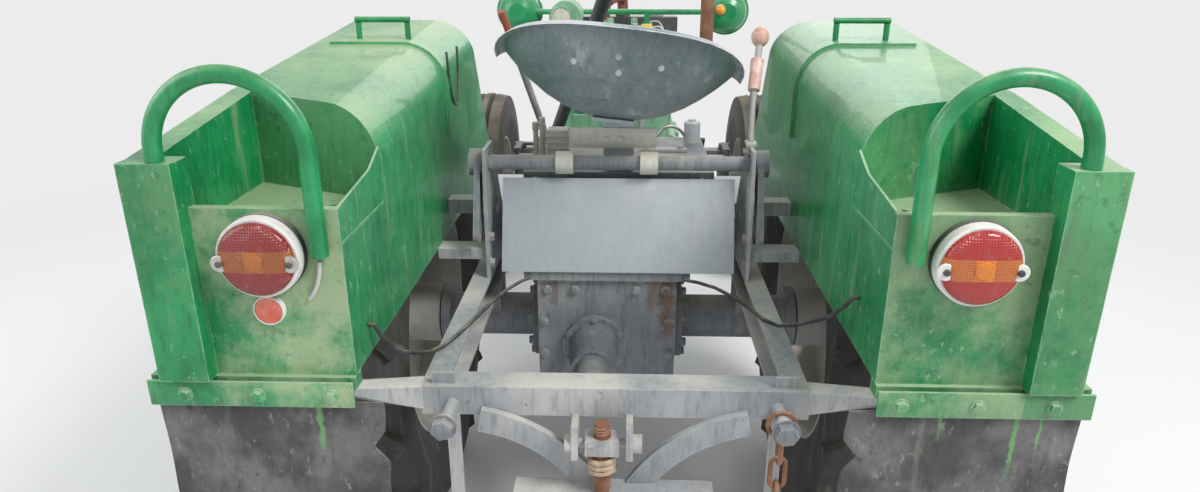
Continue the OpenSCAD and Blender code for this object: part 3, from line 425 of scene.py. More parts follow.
chrome = wornPaint(
    "chromeRing", main=(0.62, 0.62, 0.61), faded=(0.7, 0.7, 0.69), deep=(0.35, 0.33, 0.3), metallic=1.0,
    rough=0.12, roughSpread=0.15, dustAmount=0.15, rustAmount=0.5, bump=0.1, patch=15)
amberMarker = wornPaint(
    "amberMarker", main=(0.75, 0.24, 0.015), faded=(0.85, 0.38, 0.05), deep=(0.5, 0.12, 0.01),
    rustAmount=0.0, dustAmount=0.15, rough=0.15, coat=0.6, bump=0.1, patch=20)
paleDial = wornPaint(
    "paleDial", main=(0.58, 0.55, 0.44), faded=(0.72, 0.70, 0.60), deep=(0.32, 0.28, 0.20), rustAmount=0.5,
    dustAmount=0.3, rough=0.4, patch=25)
knobPaint = wornPaint(
    "knobPaint", main=(0.62, 0.36, 0.29), faded=(0.75, 0.58, 0.50), deep=(0.35, 0.14, 0.10), rustAmount=0.6,
    dustAmount=0.3, rough=0.35, patch=25, flecks=0.6, edge=(0.75, 0.7, 0.64))
ropeTan = wornPaint(
    "ropeTan", main=(0.42, 0.30, 0.20), faded=(0.58, 0.46, 0.34), deep=(0.2, 0.13, 0.08), rustAmount=0.0,
    dustAmount=0.6, rough=0.8, bump=0.8, patch=60)
paleLead = wornPaint(
    "paleLead", main=(0.5, 0.5, 0.47), faded=(0.62, 0.62, 0.58), deep=(0.3, 0.3, 0.28), rustAmount=0.0,
    rough=0.5)

for sub in record["subparts"]:
    finish = hitchMetal if sub["node"] == "hitch_screw" else finishes[sub["material_slot"]]
    materials = nodes[sub["node"]].data.materials
    materials.clear()
    materials.append(finish)
print("finishes set:", len(finishes))


# Helpers for new pieces
def pieceFrom(bm, name, mats, body="root", replaced=(), smooth=30):
    bmesh.ops.remove_doubles(bm, verts=bm.verts, dist=0.00002)
    bmesh.ops.recalc_face_normals(bm, faces=bm.faces)
    mesh = bpy.data.meshes.new(name)
    bm.to_mesh(mesh)
    bm.free()
    for mat in mats:
        mesh.materials.append(mat)
    obj = bpy.data.objects.new(name, mesh)
    bpy.context.scene.collection.objects.link(obj)
    mesh.shade_smooth()
    mesh.set_sharp_from_angle(angle=math.radians(smooth))
    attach(obj, body)
    if replaced:
        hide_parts(*replaced)
    return obj


def spun(bm, profile, axis="Y", centre=(0, 0, 0), steps=48, matIndex=0):
    # profile: pairs of distance along the axis and radius
    before = set(bm.faces)
    verts = [bm.verts.new((radius, along, 0)) for along, radius in profile]
    edges = [bm.edges.new(pair) for pair in zip(verts, verts[1:])]
    bmesh.ops.spin(bm, geom=verts + edges, cent=(0, 0, 0), axis=(0, 1, 0), angle=math.tau, steps=steps,
                   use_merge=True)
    moved = list({v for f in bm.faces if f not in before for v in f.verts})
    bmesh.ops.remove_doubles(bm, verts=moved, dist=0.00001)
    new = [f for f in bm.faces if f not in before]
    moved = list({v for f in new for v in f.verts})
    if axis == "Z":
        bmesh.ops.rotate(bm, verts=moved, cent=(0, 0, 0), matrix=Matrix.Rotation(math.pi / 2, 3, "X"))
    bmesh.ops.translate(bm, verts=moved, vec=centre)
    for face in new:
        face.material_index = matIndex


def inFromRim(radius, rows):
    # a profile whose second value is the distance in from the rim, where None is the axis itself
    return [(along, 0 if inset is None else radius - inset) for along, inset in rows]


def roundPlace(node):
    # middle of the front face of a node that is round about a line from front to back, and its radius
    low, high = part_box(node)
    return ((low.x + high.x) / 2, high.y, (low.z + high.z) / 2), (high.x - low.x) / 2


def slab(bm, low, high, bevel=0.0):
    before = set(bm.verts)
    made = bmesh.ops.create_cube(bm, size=1.0)["verts"]
    bmesh.ops.scale(bm, verts=made, vec=[high[i] - low[i] for i in range(3)])
    bmesh.ops.translate(bm, verts=made, vec=[(high[i] + low[i]) / 2 for i in range(3)])
    if bevel:
        edges = list({e for v in made for e in v.link_edges})
        bmesh.ops.bevel(bm, geom=edges, offset=bevel, segments=2, profile=0.5, affect="EDGES", material=-1)
    return [v for v in bm.verts if v not in before]


def standingDisc(bm, segments, radius, height):
    # a closed disc or prism; gives the vertices of its upper end
    ring = bmesh.ops.create_circle(bm, cap_ends=True, segments=segments, radius=radius)["verts"]
    upper = bmesh.ops.extrude_face_region(bm, geom=list({f for v in ring for f in v.link_faces}))["geom"]
    upper = [v for v in upper if isinstance(v, bmesh.types.BMVert)]
    bmesh.ops.translate(bm, verts=upper, vec=(0, 0, height))
    return upper


# Radius and edge are shares of the width across the flats
boltShape = {"washerRadius": 0.72, "washerThick": 0.0025, "washerSides": 20, "edge": 0.09}


def hexBolt(bm, place, direction, across, height):
    # a hexagon head on a washer, standing out along the direction and turned at random
    before = set(bm.verts)
    s = boltShape
    standingDisc(bm, s["washerSides"], across * s["washerRadius"], s["washerThick"])
    upper = standingDisc(bm, 6, across / math.sqrt(3), height)
    rim = [e for e in bm.edges if e.verts[0] in upper and e.verts[1] in upper]
    bmesh.ops.bevel(bm, geom=rim, offset=across * s["edge"], segments=2, profile=0.5, affect="EDGES",
                    material=-1)
    made = [v for v in bm.verts if v not in before]
    spin = Matrix.Rotation(random.uniform(0, 1), 3, "Z")
    lean = Vector(direction).to_track_quat("Z", "Y").to_matrix()
    bmesh.ops.rotate(bm, verts=made, cent=(0, 0, 0), matrix=lean @ spin)
    bmesh.ops.translate(bm, verts=made, vec=place)


def boltsFrom(name, mat, rows, body="root"):
    # rows: place, direction, width across the flats and height of each bolt
    bm = bmesh.new()
    for place, direction, across, height in rows:
        hexBolt(bm, place, direction, across, height)
    pieceFrom(bm, name, [mat], body=body)


def ringTurns(count):
    # even turns round a circle, of which the first stands half a step in
    return [math.tau * (i + 0.5) / count for i in range(count)]


def rod(name, points, radius, mat, smoothPath=True, sides=5):
    # a bent rod, pipe or wire: a bevelled path turned into a mesh
    curve = bpy.data.curves.new(name, "CURVE")
    curve.dimensions = "3D"
    curve.bevel_depth = radius
    curve.bevel_resolution = sides
    curve.use_fill_caps = True
    curve.resolution_u = 10
    spline = curve.splines.new("BEZIER" if smoothPath else "POLY")
    knots = spline.bezier_points if smoothPath else spline.points
    knots.add(len(points) - 1)
    for knot, place in zip(knots, points):
        knot.co = place if smoothPath else (*place, 1)
        if smoothPath:
            knot.handle_left_type = knot.handle_right_type = "AUTO"
    holder = bpy.data.objects.new(name + "Path", curve)
    bpy.context.scene.collection.objects.link(holder)
    bpy.context.view_layer.update()
    mesh = bpy.data.meshes.new_from_object(holder.evaluated_get(bpy.context.evaluated_depsgraph_get()))
    bpy.data.objects.remove(holder)
    bm = bmesh.new()
    bm.from_mesh(mesh)
    pieceFrom(bm, name, [mat], smooth=50)


# Tail lamps: a rubber ring, a white housing, a ribbed red lens with an amber band, and two screws; the left
# lens is a darker copy of the right one, which is painted shade
tailLamp = {
    "ring": ((0, None), (0, 0), (-0.009, 0), (-0.0105, 0.002), (-0.0105, 0.006)),
    "housing": ((-0.0105, 0.006), (-0.012, 0.001), (-0.029, 0.002), (-0.031, 0.004), (-0.031, 0.007)),
    "lens": ((-0.031, 0.007), (-0.036, 0.0075), (-0.041, 0.011), (-0.044, 0.018), (-0.0462, 0.032),
             (-0.0475, None)),
    "raisedWindow": ((-0.0465, 0), (-0.0465, 0.0145), (-0.0488, 0.0135), (-0.0495, 0.010), (-0.0495, 0)),
    "washer": ((-0.0395, 0.0), (-0.0395, 0.0135), (-0.0425, 0.0135), (-0.0435, 0.012), (-0.0435, 0.0055)),
    "screw": ((-0.0435, 0.0055), (-0.0465, 0.005), (-0.0475, 0.0025), (-0.047, 0.0)),
    "screwTurn": 0.04, "screwIn": 0.012, "screwDrop": 0.004,
    "band": 0.017, "window": 0.014, "ribs": 1500, "paintedShade": {"left": 0.62, "right": 1.0},
    # glow is a painted highlight: the brighter amber where light shines through the window of the band
    "red": (0.40, 0.012, 0.008), "amber": (0.52, 0.125, 0.010), "glow": (0.75, 0.22, 0.01),
    "grime": (0.28, 0.2, 0.17),
}


def lensMaterial(name, centre, paintedShade):
    s = tailLamp
    mat, tree, bsdf = newMaterial(name)
    # every lens colour is scaled by the side's factor, so the left lamp is a darker copy: painted shade
    red, amber, glow = ([part * paintedShade for part in s[key]] for key in ("red", "amber", "glow"))
    coords = objectCoords(tree)
    shift = (-centre[0], 0, -centre[2])
    centred = shaderNode(tree, "ShaderNodeMapping", {"Vector": coords, "Location": shift}).outputs[0]
    place = splitAxes(tree, centred)
    band = isBelow(tree, maths(tree, "ABSOLUTE", place["Z"]), s["band"])
    window = isBelow(tree, maths(tree, "ABSOLUTE", place["X"]), s["window"])
    grime = noiseAt(tree, coords, scale=60, detail=5, rough=0.65)
    colour = mixColour(tree, band, red, amber)
    # the window in the middle of the amber band is painted brighter, a painted highlight of light through the
    # lens
    colour = mixColour(tree, product(tree, band, window, 0.8), colour, glow)
    colour = mixColour(tree, product(tree, stepUp(tree, grime, 0.5, 0.75), 0.35), colour, s["grime"])
    across = maths(tree, "SINE", product(tree, place["X"], s["ribs"]))
    upright = maths(tree, "SINE", product(tree, place["Z"], s["ribs"]))
    grid = total(tree, across, product(tree, upright, 0.7))
    setSockets(tree, bsdf, {"Base Color": colour, "Roughness": total(tree, product(tree, grime, 0.3), 0.08),
                            "Coat Weight": 0.6, "Normal": bumpFrom(tree, grid, 0.45, 0.0012)})
    return mat


def tailLampPiece(node, washerMat):
    s = tailLamp
    centre, r = roundPlace("tail_lamp_" + node)
    bm = bmesh.new()
    spun(bm, inFromRim(r, s["ring"]), centre=centre, matIndex=1)
    spun(bm, inFromRim(r, s["housing"]), centre=centre, matIndex=2)
    spun(bm, inFromRim(r, s["lens"]), centre=centre)
    spun(bm, s["raisedWindow"], centre=centre)
    lens = lensMaterial("lens" + node, centre, s["paintedShade"][node])
    pieceFrom(bm, "tailLamp" + node, [lens, blackRubber, lampWhite], replaced=["tail_lamp_" + node],
              smooth=35)
    screws = bmesh.new()
    for turn in (s["screwTurn"], math.pi - s["screwTurn"]):
        across = centre[0] + math.cos(turn) * (r - s["screwIn"])
        place = (across, centre[1], centre[2] - s["screwDrop"])
        spun(screws, s["washer"], centre=place, steps=32)
        spun(screws, s["screw"], centre=place, steps=32, matIndex=1)
    pieceFrom(screws, "tailLampScrews" + node, [washerMat, finishes["dark_paint"]])


tailLampPiece("left", zincPlate)
tailLampPiece("right", lampWhite)

# Small reflector: a thin white ring and a red face
reflectorDisc = {
    "ring": ((0, None), (0, 0), (-0.008, 0), (-0.0105, 0.001), (-0.0105, 0.0022), (-0.0085, 0.0026)),
    "face": ((-0.0085, 0.0026), (-0.0098, 0.004), (-0.0105, None)),
}


def reflectorPiece():
    centre, r = roundPlace("reflector")
    bm = bmesh.new()
    spun(bm, inFromRim(r, reflectorDisc["ring"]), centre=centre, matIndex=1)
    spun(bm, inFromRim(r, reflectorDisc["face"]), centre=centre)
    pieceFrom(bm, "reflectorDisc", [reflectorRed, lampWhite], replaced=["reflector"],
              smooth=35)


reflectorPiece()
print("lamps made")

# Flaps with torn inner edges, hidden at the top behind bolted strips; a wave is its height and its turns
flap = {"top": 0.726, "thick": 0.004, "gap": 0.0012, "innerIn": 0.006, "outerIn": 0.003,
        "innerWave": (0.0018, 61), "outerWave": (0.0015, 29), "sag": (0.0016, 9), "ripple": (0.0012, 23),
        "rippleLean": 5, "tear": {"z": 0.64, "half": 0.03, "deep": 0.022}}
flapStrip = {"inner": 0.422, "outer": 0.762, "low": 0.722, "high": 0.768, "front": 0.004, "back": 0.009,
             "bolts": (0.459, 0.58, 0.70), "boltZ": 0.744}


def wave(form, place, start=0.0):
    height, turns = form
    return height * math.sin(place * turns + start)


def flapPiece(side, node):
    s = flap
    tear = s["tear"]
    low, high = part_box("mud_flap_" + node)
    innerEdge, outerEdge = sorted((abs(low.x), abs(high.x)))
    bm = bmesh.new()
    bmesh.ops.create_grid(bm, x_segments=64, y_segments=48, size=0.5)
    for v in bm.verts:
        across, up = v.co.x + 0.5, v.co.y + 0.5
        z = low.z + (s["top"] - low.z) * up
        inner = innerEdge + s["innerIn"] + wave(s["innerWave"], z, side)
        inner += tear["deep"] * max(0, 1 - abs(z - tear["z"]) / tear["half"])
        outer = outerEdge - s["outerIn"] - wave(s["outerWave"], z, 2)
        far = across if side > 0 else 1 - across
        sag = wave(s["sag"], across, side) * (1 - up) + wave(s["ripple"], across, up * s["rippleLean"])
        v.co = Vector((side * (inner + (outer - inner) * far), low.y + s["gap"] + sag, z))
    skin = bmesh.ops.extrude_face_region(bm, geom=bm.faces[:], use_keep_orig=True)["geom"]
    skin = [v for v in skin if isinstance(v, bmesh.types.BMVert)]
    bmesh.ops.translate(bm, verts=skin, vec=(0, s["thick"], 0))
    pieceFrom(bm, "flap" + node, [finishes["flap_rubber"]], replaced=["mud_flap_" + node],
              smooth=50)


def flapStripPiece(side, node):
    s = flapStrip
    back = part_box("mud_flap_" + node)[0].y
    x0, x1 = sorted((side * s["inner"], side * s["outer"]))
    bm = bmesh.new()
    slab(bm, (x0, back - s["back"], s["low"]), (x1, back - s["front"], s["high"]), bevel=0.0012)
    for x in s["bolts"]:
        hexBolt(bm, (side * x, back - s["back"], s["boltZ"]), (0, -1, 0), across=0.017, height=0.009)
    pieceFrom(bm, "flapStrip" + node.title(), [finishes["green_paint"]])


for side, node in ((-1, "left"), (1, "right")):
    flapPiece(side, node)
    flapStripPiece(side, node)
print("flaps made")

# Grey bolts; a size is the width across the flats and the height
gearboxBolts = {"faceY": -0.841, "outerX": (-0.166, -0.100, 0.045, 0.115), "outerZ": (0.425, 0.674),
                "innerX": (-0.176, 0.126), "innerZ": (0.505, 0.590), "size": (0.017, 0.010)}
snoutBolts = {"x": -0.055, "z": 0.53, "faceY": -0.858, "radius": 0.0684, "count": 6, "size": (0.012, 0.007)}
axleBolts = {"y": -0.67, "z": 0.53, "faces": ((-1, -0.212), (1, 0.162)), "radius": 0.091, "count": 8,
             "size": (0.019, 0.012)}
beamBolts = {"x": 0.29, "y": -1.426, "z": 0.666, "size": (0.034, 0.016)}
uprightBolts = {"x": 0.300, "places": ((-0.83, 0.735), (-0.83, 0.80), (-0.63, 0.735), (-0.63, 0.775)),
                "size": (0.019, 0.011)}


def greyBoltRows():
    back = (0, -1, 0)
    s = gearboxBolts
    rows = [((x, s["faceY"], z), back, *s["size"]) for x in s["outerX"] for z in s["outerZ"]]
    rows += [((x, s["faceY"], z), back, *s["size"]) for z in s["innerZ"] for x in s["innerX"]]
    s = snoutBolts
    for turn in ringTurns(s["count"]):
        x, z = s["x"] + s["radius"] * math.cos(turn), s["z"] + s["radius"] * math.sin(turn)
        rows.append(((x, s["faceY"], z), back, *s["size"]))
    s = axleBolts
    for side, face in s["faces"]:
        for turn in ringTurns(s["count"]):
            y, z = s["y"] + s["radius"] * math.cos(turn), s["z"] + s["radius"] * math.sin(turn)
            rows.append(((face, y, z), (side, 0, 0), *s["size"]))
    for side in (-1, 1):
        rows.append(((side * beamBolts["x"], beamBolts["y"], beamBolts["z"]), back, *beamBolts["size"]))
        for y, z in uprightBolts["places"]:
            rows.append(((side * uprightBolts["x"], y, z), (-side, 0, 0), *uprightBolts["size"]))
    return rows


boltsFrom("greyBolts", finishes["grey_casting"], greyBoltRows())

# Threads of the hitch screw, turned as a rising coil
hitchThread = {"runs": ((0.516, 0.594), (0.627, 0.650)), "inner": 0.0125, "outer": 0.0152, "pitch": 0.006,
               "steps": 18, "profile": (("inner", 0), ("outer", 0.3), ("outer", 0.6), ("inner", 0.9))}


def hitchThreads():
    s = hitchThread
    bm = bmesh.new()
    for low, high in s["runs"]:
        turns = (high - low - s["pitch"]) / s["pitch"]
        steps = int(turns * s["steps"])
        before = set(bm.verts)
        corners = [bm.verts.new((s[edge], 0, low + s["pitch"] * share)) for edge, share in s["profile"]]
        face = bm.faces.new(corners)
        bmesh.ops.spin(bm, geom=[face] + list(face.edges) + corners, cent=(0, 0, 0), axis=(0, 0, 1),
                       angle=math.tau * turns, steps=steps, dvec=(0, 0, s["pitch"] * turns / steps))
        made = [v for v in bm.verts if v not in before]
        bmesh.ops.translate(bm, verts=made, vec=(hitchAxis["x"], hitchAxis["y"], 0))
    pieceFrom(bm, "hitchThreads", [finishes["rusty_iron"]], smooth=40)


hitchThreads()

# Nuts on the wheels; the face is how far outside the middle of the tyre the nuts sit
wheelNuts = {"rear": {"face": 0.029, "radius": 0.105, "count": 8, "size": (0.026, 0.016)},
             "front": {"face": 0.029, "radius": 0.075, "count": 5, "size": (0.022, 0.016)}}


def wheelNutPiece(end, side, name):
    s = wheelNuts[end]
    low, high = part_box(f"{end}_tyre_{name}")
    middle = (low + high) / 2
    rows = []
    for turn in ringTurns(s["count"]):
        place = (middle.x + side * s["face"], middle.y + s["radius"] * math.cos(turn),
                 middle.z + s["radius"] * math.sin(turn))
        rows.append((place, (side, 0, 0), *s["size"]))
    boltsFrom(f"{end}WheelNuts{name.title()}", finishes["bare_steel"], rows, body=f"{end}_wheel_{name}")


for end in wheelNuts:
    for side, name in ((-1, "left"), (1, "right")):
        wheelNutPiece(end, side, name)
print("bolts and nuts made")

# Wire loop that hangs on the left fender
wireLoop = {"radius": 0.003,
            "points": ((-0.4185, -0.505, 1.200), (-0.4165, -0.515, 1.160), (-0.415, -0.530, 1.115),
                       (-0.413, -0.555, 1.078), (-0.412, -0.585, 1.066), (-0.413, -0.612, 1.082),
                       (-0.415, -0.626, 1.125), (-0.4185, -0.630, 1.200))}
rod("wireLoop", wireLoop["points"], wireLoop["radius"], looseWire)

# Injector lines from the pump to the head, bent in pairs towards two ports
injector = {"count": 4, "radius": 0.0032, "pump": (0.182, 0.380, 0.833), "step": 0.05, "rise": 0.90,
            "elbow": (0.172, 1.00), "bend": (0.160, 0.012, 1.08), "neck": (0.140, 0.006, 1.178),
            "ports": (0.310, 0.560), "head": (0.104, 1.182)}


def injectorLine(i):
    s = injector
    pumpX, firstY, pumpZ = s["pump"]
    y = firstY + i * s["step"]
    port = s["ports"][i // 2]
    second = i % 2
    points = [(pumpX, y, pumpZ), (pumpX, y, s["rise"]), (s["elbow"][0], (y + port) / 2, s["elbow"][1])]
    for x, apart, z in (s["bend"], s["neck"]):
        points.append((x, port + apart * second, z))
    points.append((s["head"][0], port, s["head"][1]))
    rod(f"injectorLine{i}", points, s["radius"], zincPlate)


for i in range(injector["count"]):
    injectorLine(i)
print("wires and injector lines made")

# Filler cap of the engine, with a grip across its top
oilCap = {"place": (0.084, 0.220, 1.176), "grip": (0.018, 0.004), "gripZ": (0.015, 0.024),
          "profile": ((0, 0), (0, 0.024), (0.012, 0.024), (0.016, 0.020), (0.016, 0))}


def oilCapPiece():
    x, y, z = oilCap["place"]
    halfX, halfY = oilCap["grip"]
    low, high = oilCap["gripZ"]
    bm = bmesh.new()
    spun(bm, oilCap["profile"], axis="Z", centre=oilCap["place"], steps=32)
    slab(bm, (x - halfX, y - halfY, z + low), (x + halfX, y + halfY, z + high), bevel=0.0015)
    pieceFrom(bm, "oilCap", [yellowCap], smooth=35)


oilCapPiece()

# Dark can beside the engine, on its small bracket
ignitionCanister = {
    "place": (0.150, 0.245, 1.015), "bracket": ((0.112, 0.230, 1.030), (0.128, 0.260, 1.060)),
    "profile": ((0, 0), (0, 0.024), (0.078, 0.024), (0.082, 0.020), (0.082, 0.009), (0.104, 0.008),
                (0.104, 0)),
}


def ignitionCanisterPiece():
    bm = bmesh.new()
    spun(bm, ignitionCanister["profile"], axis="Z", centre=ignitionCanister["place"], steps=32)
    slab(bm, *ignitionCanister["bracket"], bevel=0.001)
    pieceFrom(bm, "ignitionCanister", [finishes["dark_paint"]], smooth=35)


ignitionCanisterPiece()

# Headlamp faces: fluted glass in a chrome ring
headlampFace = {
    "x": 0.380, "z": 1.225, "radius": 0.080, "flutes": 620,
    "pale": (0.62, 0.66, 0.66), "dim": (0.42, 0.45, 0.44),
    "ring": ((-0.004, -0.0045), (0.003, -0.0055), (0.007, -0.001), (0.006, 0.007), (0.001, 0.007),
             (-0.004, -0.0045)),
    "glass": ((0.0005, None), (0.0005, 0.0072), (0.005, 0.020), (0.009, 0.045), (0.0105, None)),
}


def headlampGlassMaterial():
    s = headlampFace
    mat, tree, bsdf = newMaterial("headlampGlass")
    coords = objectCoords(tree)
    cloudy = stepUp(tree, noiseAt(tree, coords, scale=40, detail=4, rough=0.6), 0.4, 0.7)
    flutes = maths(tree, "SINE", product(tree, splitAxes(tree, coords)["X"], s["flutes"]))
    setSockets(tree, bsdf, {"Base Color": mixColour(tree, cloudy, s["pale"], s["dim"]),
                            "Roughness": 0.08, "Metallic": 0.35, "Coat Weight": 0.8,
                            "Normal": bumpFrom(tree, flutes, 0.35, 0.002)})
    return mat


def headlampFacePiece(side, name, glass):
    s = headlampFace
    centre = (side * s["x"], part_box("headlamps")[1].y, s["z"])
    bm = bmesh.new()
    spun(bm, inFromRim(s["radius"], s["ring"]), centre=centre, matIndex=1, steps=64)
    spun(bm, inFromRim(s["radius"], s["glass"]), centre=centre, steps=64)
    pieceFrom(bm, "headlampFace" + name, [glass, chrome], smooth=40)


headlampGlass = headlampGlassMaterial()
headlampFacePiece(-1, "Left", headlampGlass)
headlampFacePiece(1, "Right", headlampGlass)

# Orange marker on the back of the right headlamp
orangeMarker = {"place": (0.352, 0.413, 1.235),
                "lens": ((0, 0), (0, 0.019), (-0.012, 0.019), (-0.022, 0.015), (-0.028, 0.008), (-0.030, 0)),
                "seat": ((0.001, 0), (0.001, 0.023), (0.012, 0.021), (0.012, 0))}


def orangeMarkerPiece():
    bm = bmesh.new()
    spun(bm, orangeMarker["lens"], centre=orangeMarker["place"], steps=32)
    spun(bm, orangeMarker["seat"], centre=orangeMarker["place"], steps=32, matIndex=1)
    pieceFrom(bm, "orangeMarker", [amberMarker, finishes["lamp_green"]], smooth=40)


orangeMarkerPiece()

# Pale lid of the round canister on the engine, in a green rim
canisterLid = {
    "place": (-0.199, 0.140, 1.226),
    "rim": ((0, 0), (0, 0.037), (-0.005, 0.037), (-0.006, 0.0355), (-0.006, 0.032), (-0.0035, 0.0315)),
    "dial": ((-0.0035, 0.0315), (-0.0045, 0.020), (-0.005, 0)),
}


def canisterLidPiece():
    bm = bmesh.new()
    spun(bm, canisterLid["rim"], centre=canisterLid["place"], matIndex=1)
    spun(bm, canisterLid["dial"], centre=canisterLid["place"])
    pieceFrom(bm, "canisterLid", [paleDial, finishes["engine_green"]], smooth=35)


canisterLidPiece()

# Radiator core: upright tubes and thin fins on both faces, in a rim; the tanks stand out by the recess
core = {"half": 0.196, "low": 0.716, "high": 1.108, "recess": 0.010, "depth": 0.006, "finIn": 0.0015,
        "tubes": 17, "tubeHalf": 0.0015, "fins": 49, "finHalf": 0.0007}
coreRim = {"depth": 0.009, "sides": (0.197, 0.2095), "sideZ": (0.702, 1.119), "half": 0.1965,
           "bars": ((0.702, 0.715), (1.1085, 1.119))}


def coreFaces():
    low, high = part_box("radiator")
    return (high.y - core["recess"], 1), (low.y + core["recess"], -1)


def radiatorFins():
    s = core
    bm = bmesh.new()
    for face, outward in coreFaces():
        far = face + outward * s["depth"]
        near, out = sorted((face, far))
        finNear, finOut = sorted((face, far - outward * s["finIn"]))
        for i in range(s["tubes"]):
            x = -s["half"] + 2 * s["half"] * i / (s["tubes"] - 1)
            slab(bm, (x - s["tubeHalf"], near, s["low"]), (x + s["tubeHalf"], out, s["high"]))
        for i in range(s["fins"]):
            z = s["low"] + (s["high"] - s["low"]) * (i + 0.5) / s["fins"]
            slab(bm, (-s["half"], finNear, z - s["finHalf"]), (s["half"], finOut, z + s["finHalf"]))
    pieceFrom(bm, "radiatorFins", [finishes["dark_paint"]])


def radiatorRim():
    s = coreRim
    bm = bmesh.new()
    for face, outward in coreFaces():
        near, out = sorted((face, face + outward * s["depth"]))
        for side in (-1, 1):
            x0, x1 = sorted(side * x for x in s["sides"])
            slab(bm, (x0, near, s["sideZ"][0]), (x1, out, s["sideZ"][1]), bevel=0.0015)
        for z0, z1 in s["bars"]:
            slab(bm, (-s["half"], near, z0), (s["half"], out, z1), bevel=0.0015)
    pieceFrom(bm, "radiatorRim", [finishes["dark_paint"]])


radiatorFins()
radiatorRim()

radiatorCap = {
    "place": (0.140, 0.865, 1.180), "grip": ((0.110, 0.861, 1.184), (0.170, 0.869, 1.191)),
    "profile": ((0, 0), (0, 0.026), (0.006, 0.027), (0.014, 0.025), (0.017, 0.018), (0.018, 0)),
}


def radiatorCapPiece():
    bm = bmesh.new()
    spun(bm, radiatorCap["profile"], axis="Z", centre=radiatorCap["place"], steps=32)
    slab(bm, *radiatorCap["grip"], bevel=0.0015)
    pieceFrom(bm, "radiatorCap", [chrome], smooth=35)


radiatorCapPiece()
print("engine, radiator and headlamp pieces made")

# Sloping cover plate ahead of the lift shaft, held by two small bolts
slopingPlate = {"middle": (-0.013, -0.7855, 1.0265), "size": (0.198, 0.003, 0.062), "lean": 31.4,
                "bolts": (-0.030, 0.006), "out": (0, -0.853, -0.522)}


def slopingPlatePiece():
    s = slopingPlate
    y, z = s["middle"][1:]
    half = [part / 2 for part in s["size"]]
    lean = Matrix.Rotation(math.radians(s["lean"]), 3, "X")
    bm = bmesh.new()
    made = slab(bm, [-part for part in half], half, bevel=0.001)
    bmesh.ops.rotate(bm, verts=made, cent=(0, 0, 0), matrix=lean)
    bmesh.ops.translate(bm, verts=made, vec=s["middle"])
    for x in s["bolts"]:
        hexBolt(bm, (x, y - half[1], z - 0.001), s["out"], across=0.011, height=0.006)
    pieceFrom(bm, "slopingPlate", [finishes["pale_plate"]])


slopingPlatePiece()

# Finned valve block on the lift housing, with two pins on a foot beside it
housingTop = 0.939
finnedValve = {
    "x": (-0.178, -0.126), "y": (-0.650, -0.600), "top": 1.015, "finOut": 0.003, "fins": 4,
    "firstFin": 0.013, "finStep": 0.015, "finThick": 0.005,
    "pinY": -0.625, "pinHead": 0.018, "pins": ((-0.208, 1.030), (-0.192, 1.042)),
    "foot": ((-0.216, -0.635, 0), (-0.178, -0.615, 0.012)),
}


def finnedValvePiece():
    s = finnedValve
    (x0, x1), (y0, y1) = s["x"], s["y"]
    out = s["finOut"]
    bm = bmesh.new()
    slab(bm, (x0, y0, housingTop), (x1, y1, s["top"]), bevel=0.004)
    for i in range(s["fins"]):
        low = housingTop + s["firstFin"] + i * s["finStep"]
        slab(bm, (x0 - out, y0 - out, low), (x1 + out, y1 + out, low + s["finThick"]), bevel=0.001)
    for x, top in s["pins"]:
        high = top - housingTop
        neck = high - s["pinHead"]
        profile = [(0, 0), (0, 0.007), (neck - 0.002, 0.0065), (neck, 0.009), (high, 0.008), (high, 0)]
        spun(bm, profile, axis="Z", centre=(x, s["pinY"], housingTop), steps=20)
    low, high = ((x, y, housingTop + z) for x, y, z in s["foot"])
    slab(bm, low, high, bevel=0.002)
    pieceFrom(bm, "finnedValve", [finishes["pale_plate"]], smooth=35)


finnedValvePiece()

# Two flat bars on the housing: x, y, height above its top, and the bolts on each
flatBars = (
    {"x": (0.052, 0.100), "y": (-0.468, -0.452), "high": 0.026,
     "bolts": (0.062, 0.090), "size": (0.012, 0.008)},
    {"x": (0.055, 0.175), "y": (-0.556, -0.528), "high": 0.008,
     "bolts": (0.070, 0.160), "size": (0.013, 0.008)},
)


def flatBarsPiece():
    bm = bmesh.new()
    for bar in flatBars:
        (x0, x1), (y0, y1) = bar["x"], bar["y"]
        top = housingTop + bar["high"]
        slab(bm, (x0, y0, housingTop), (x1, y1, top), bevel=0.0015)
        for x in bar["bolts"]:
            hexBolt(bm, (x, (y0 + y1) / 2, top), (0, 0, 1), *bar["size"])
    pieceFrom(bm, "flatBars", [finishes["rim_paint"]])


flatBarsPiece()

# Small can on the housing, and the bent link that runs to it
greyCan = {"place": (0.197, -0.425, housingTop),
           "profile": ((0, 0), (0, 0.022), (0.052, 0.022), (0.056, 0.019), (0.056, 0.010), (0.062, 0.010),
                       (0.062, 0))}
linkBow = {"radius": 0.004,
           "points": ((0.098, -0.460, 0.958), (0.125, -0.455, 0.985), (0.155, -0.445, 0.980),
                      (0.178, -0.432, 0.955))}


def greyCanPiece():
    bm = bmesh.new()
    spun(bm, greyCan["profile"], axis="Z", centre=greyCan["place"], steps=36)
    pieceFrom(bm, "greyCan", [finishes["grey_plate"]], smooth=35)


greyCanPiece()
rod("linkBow", linkBow["points"], linkBow["radius"], finishes["bare_steel"])

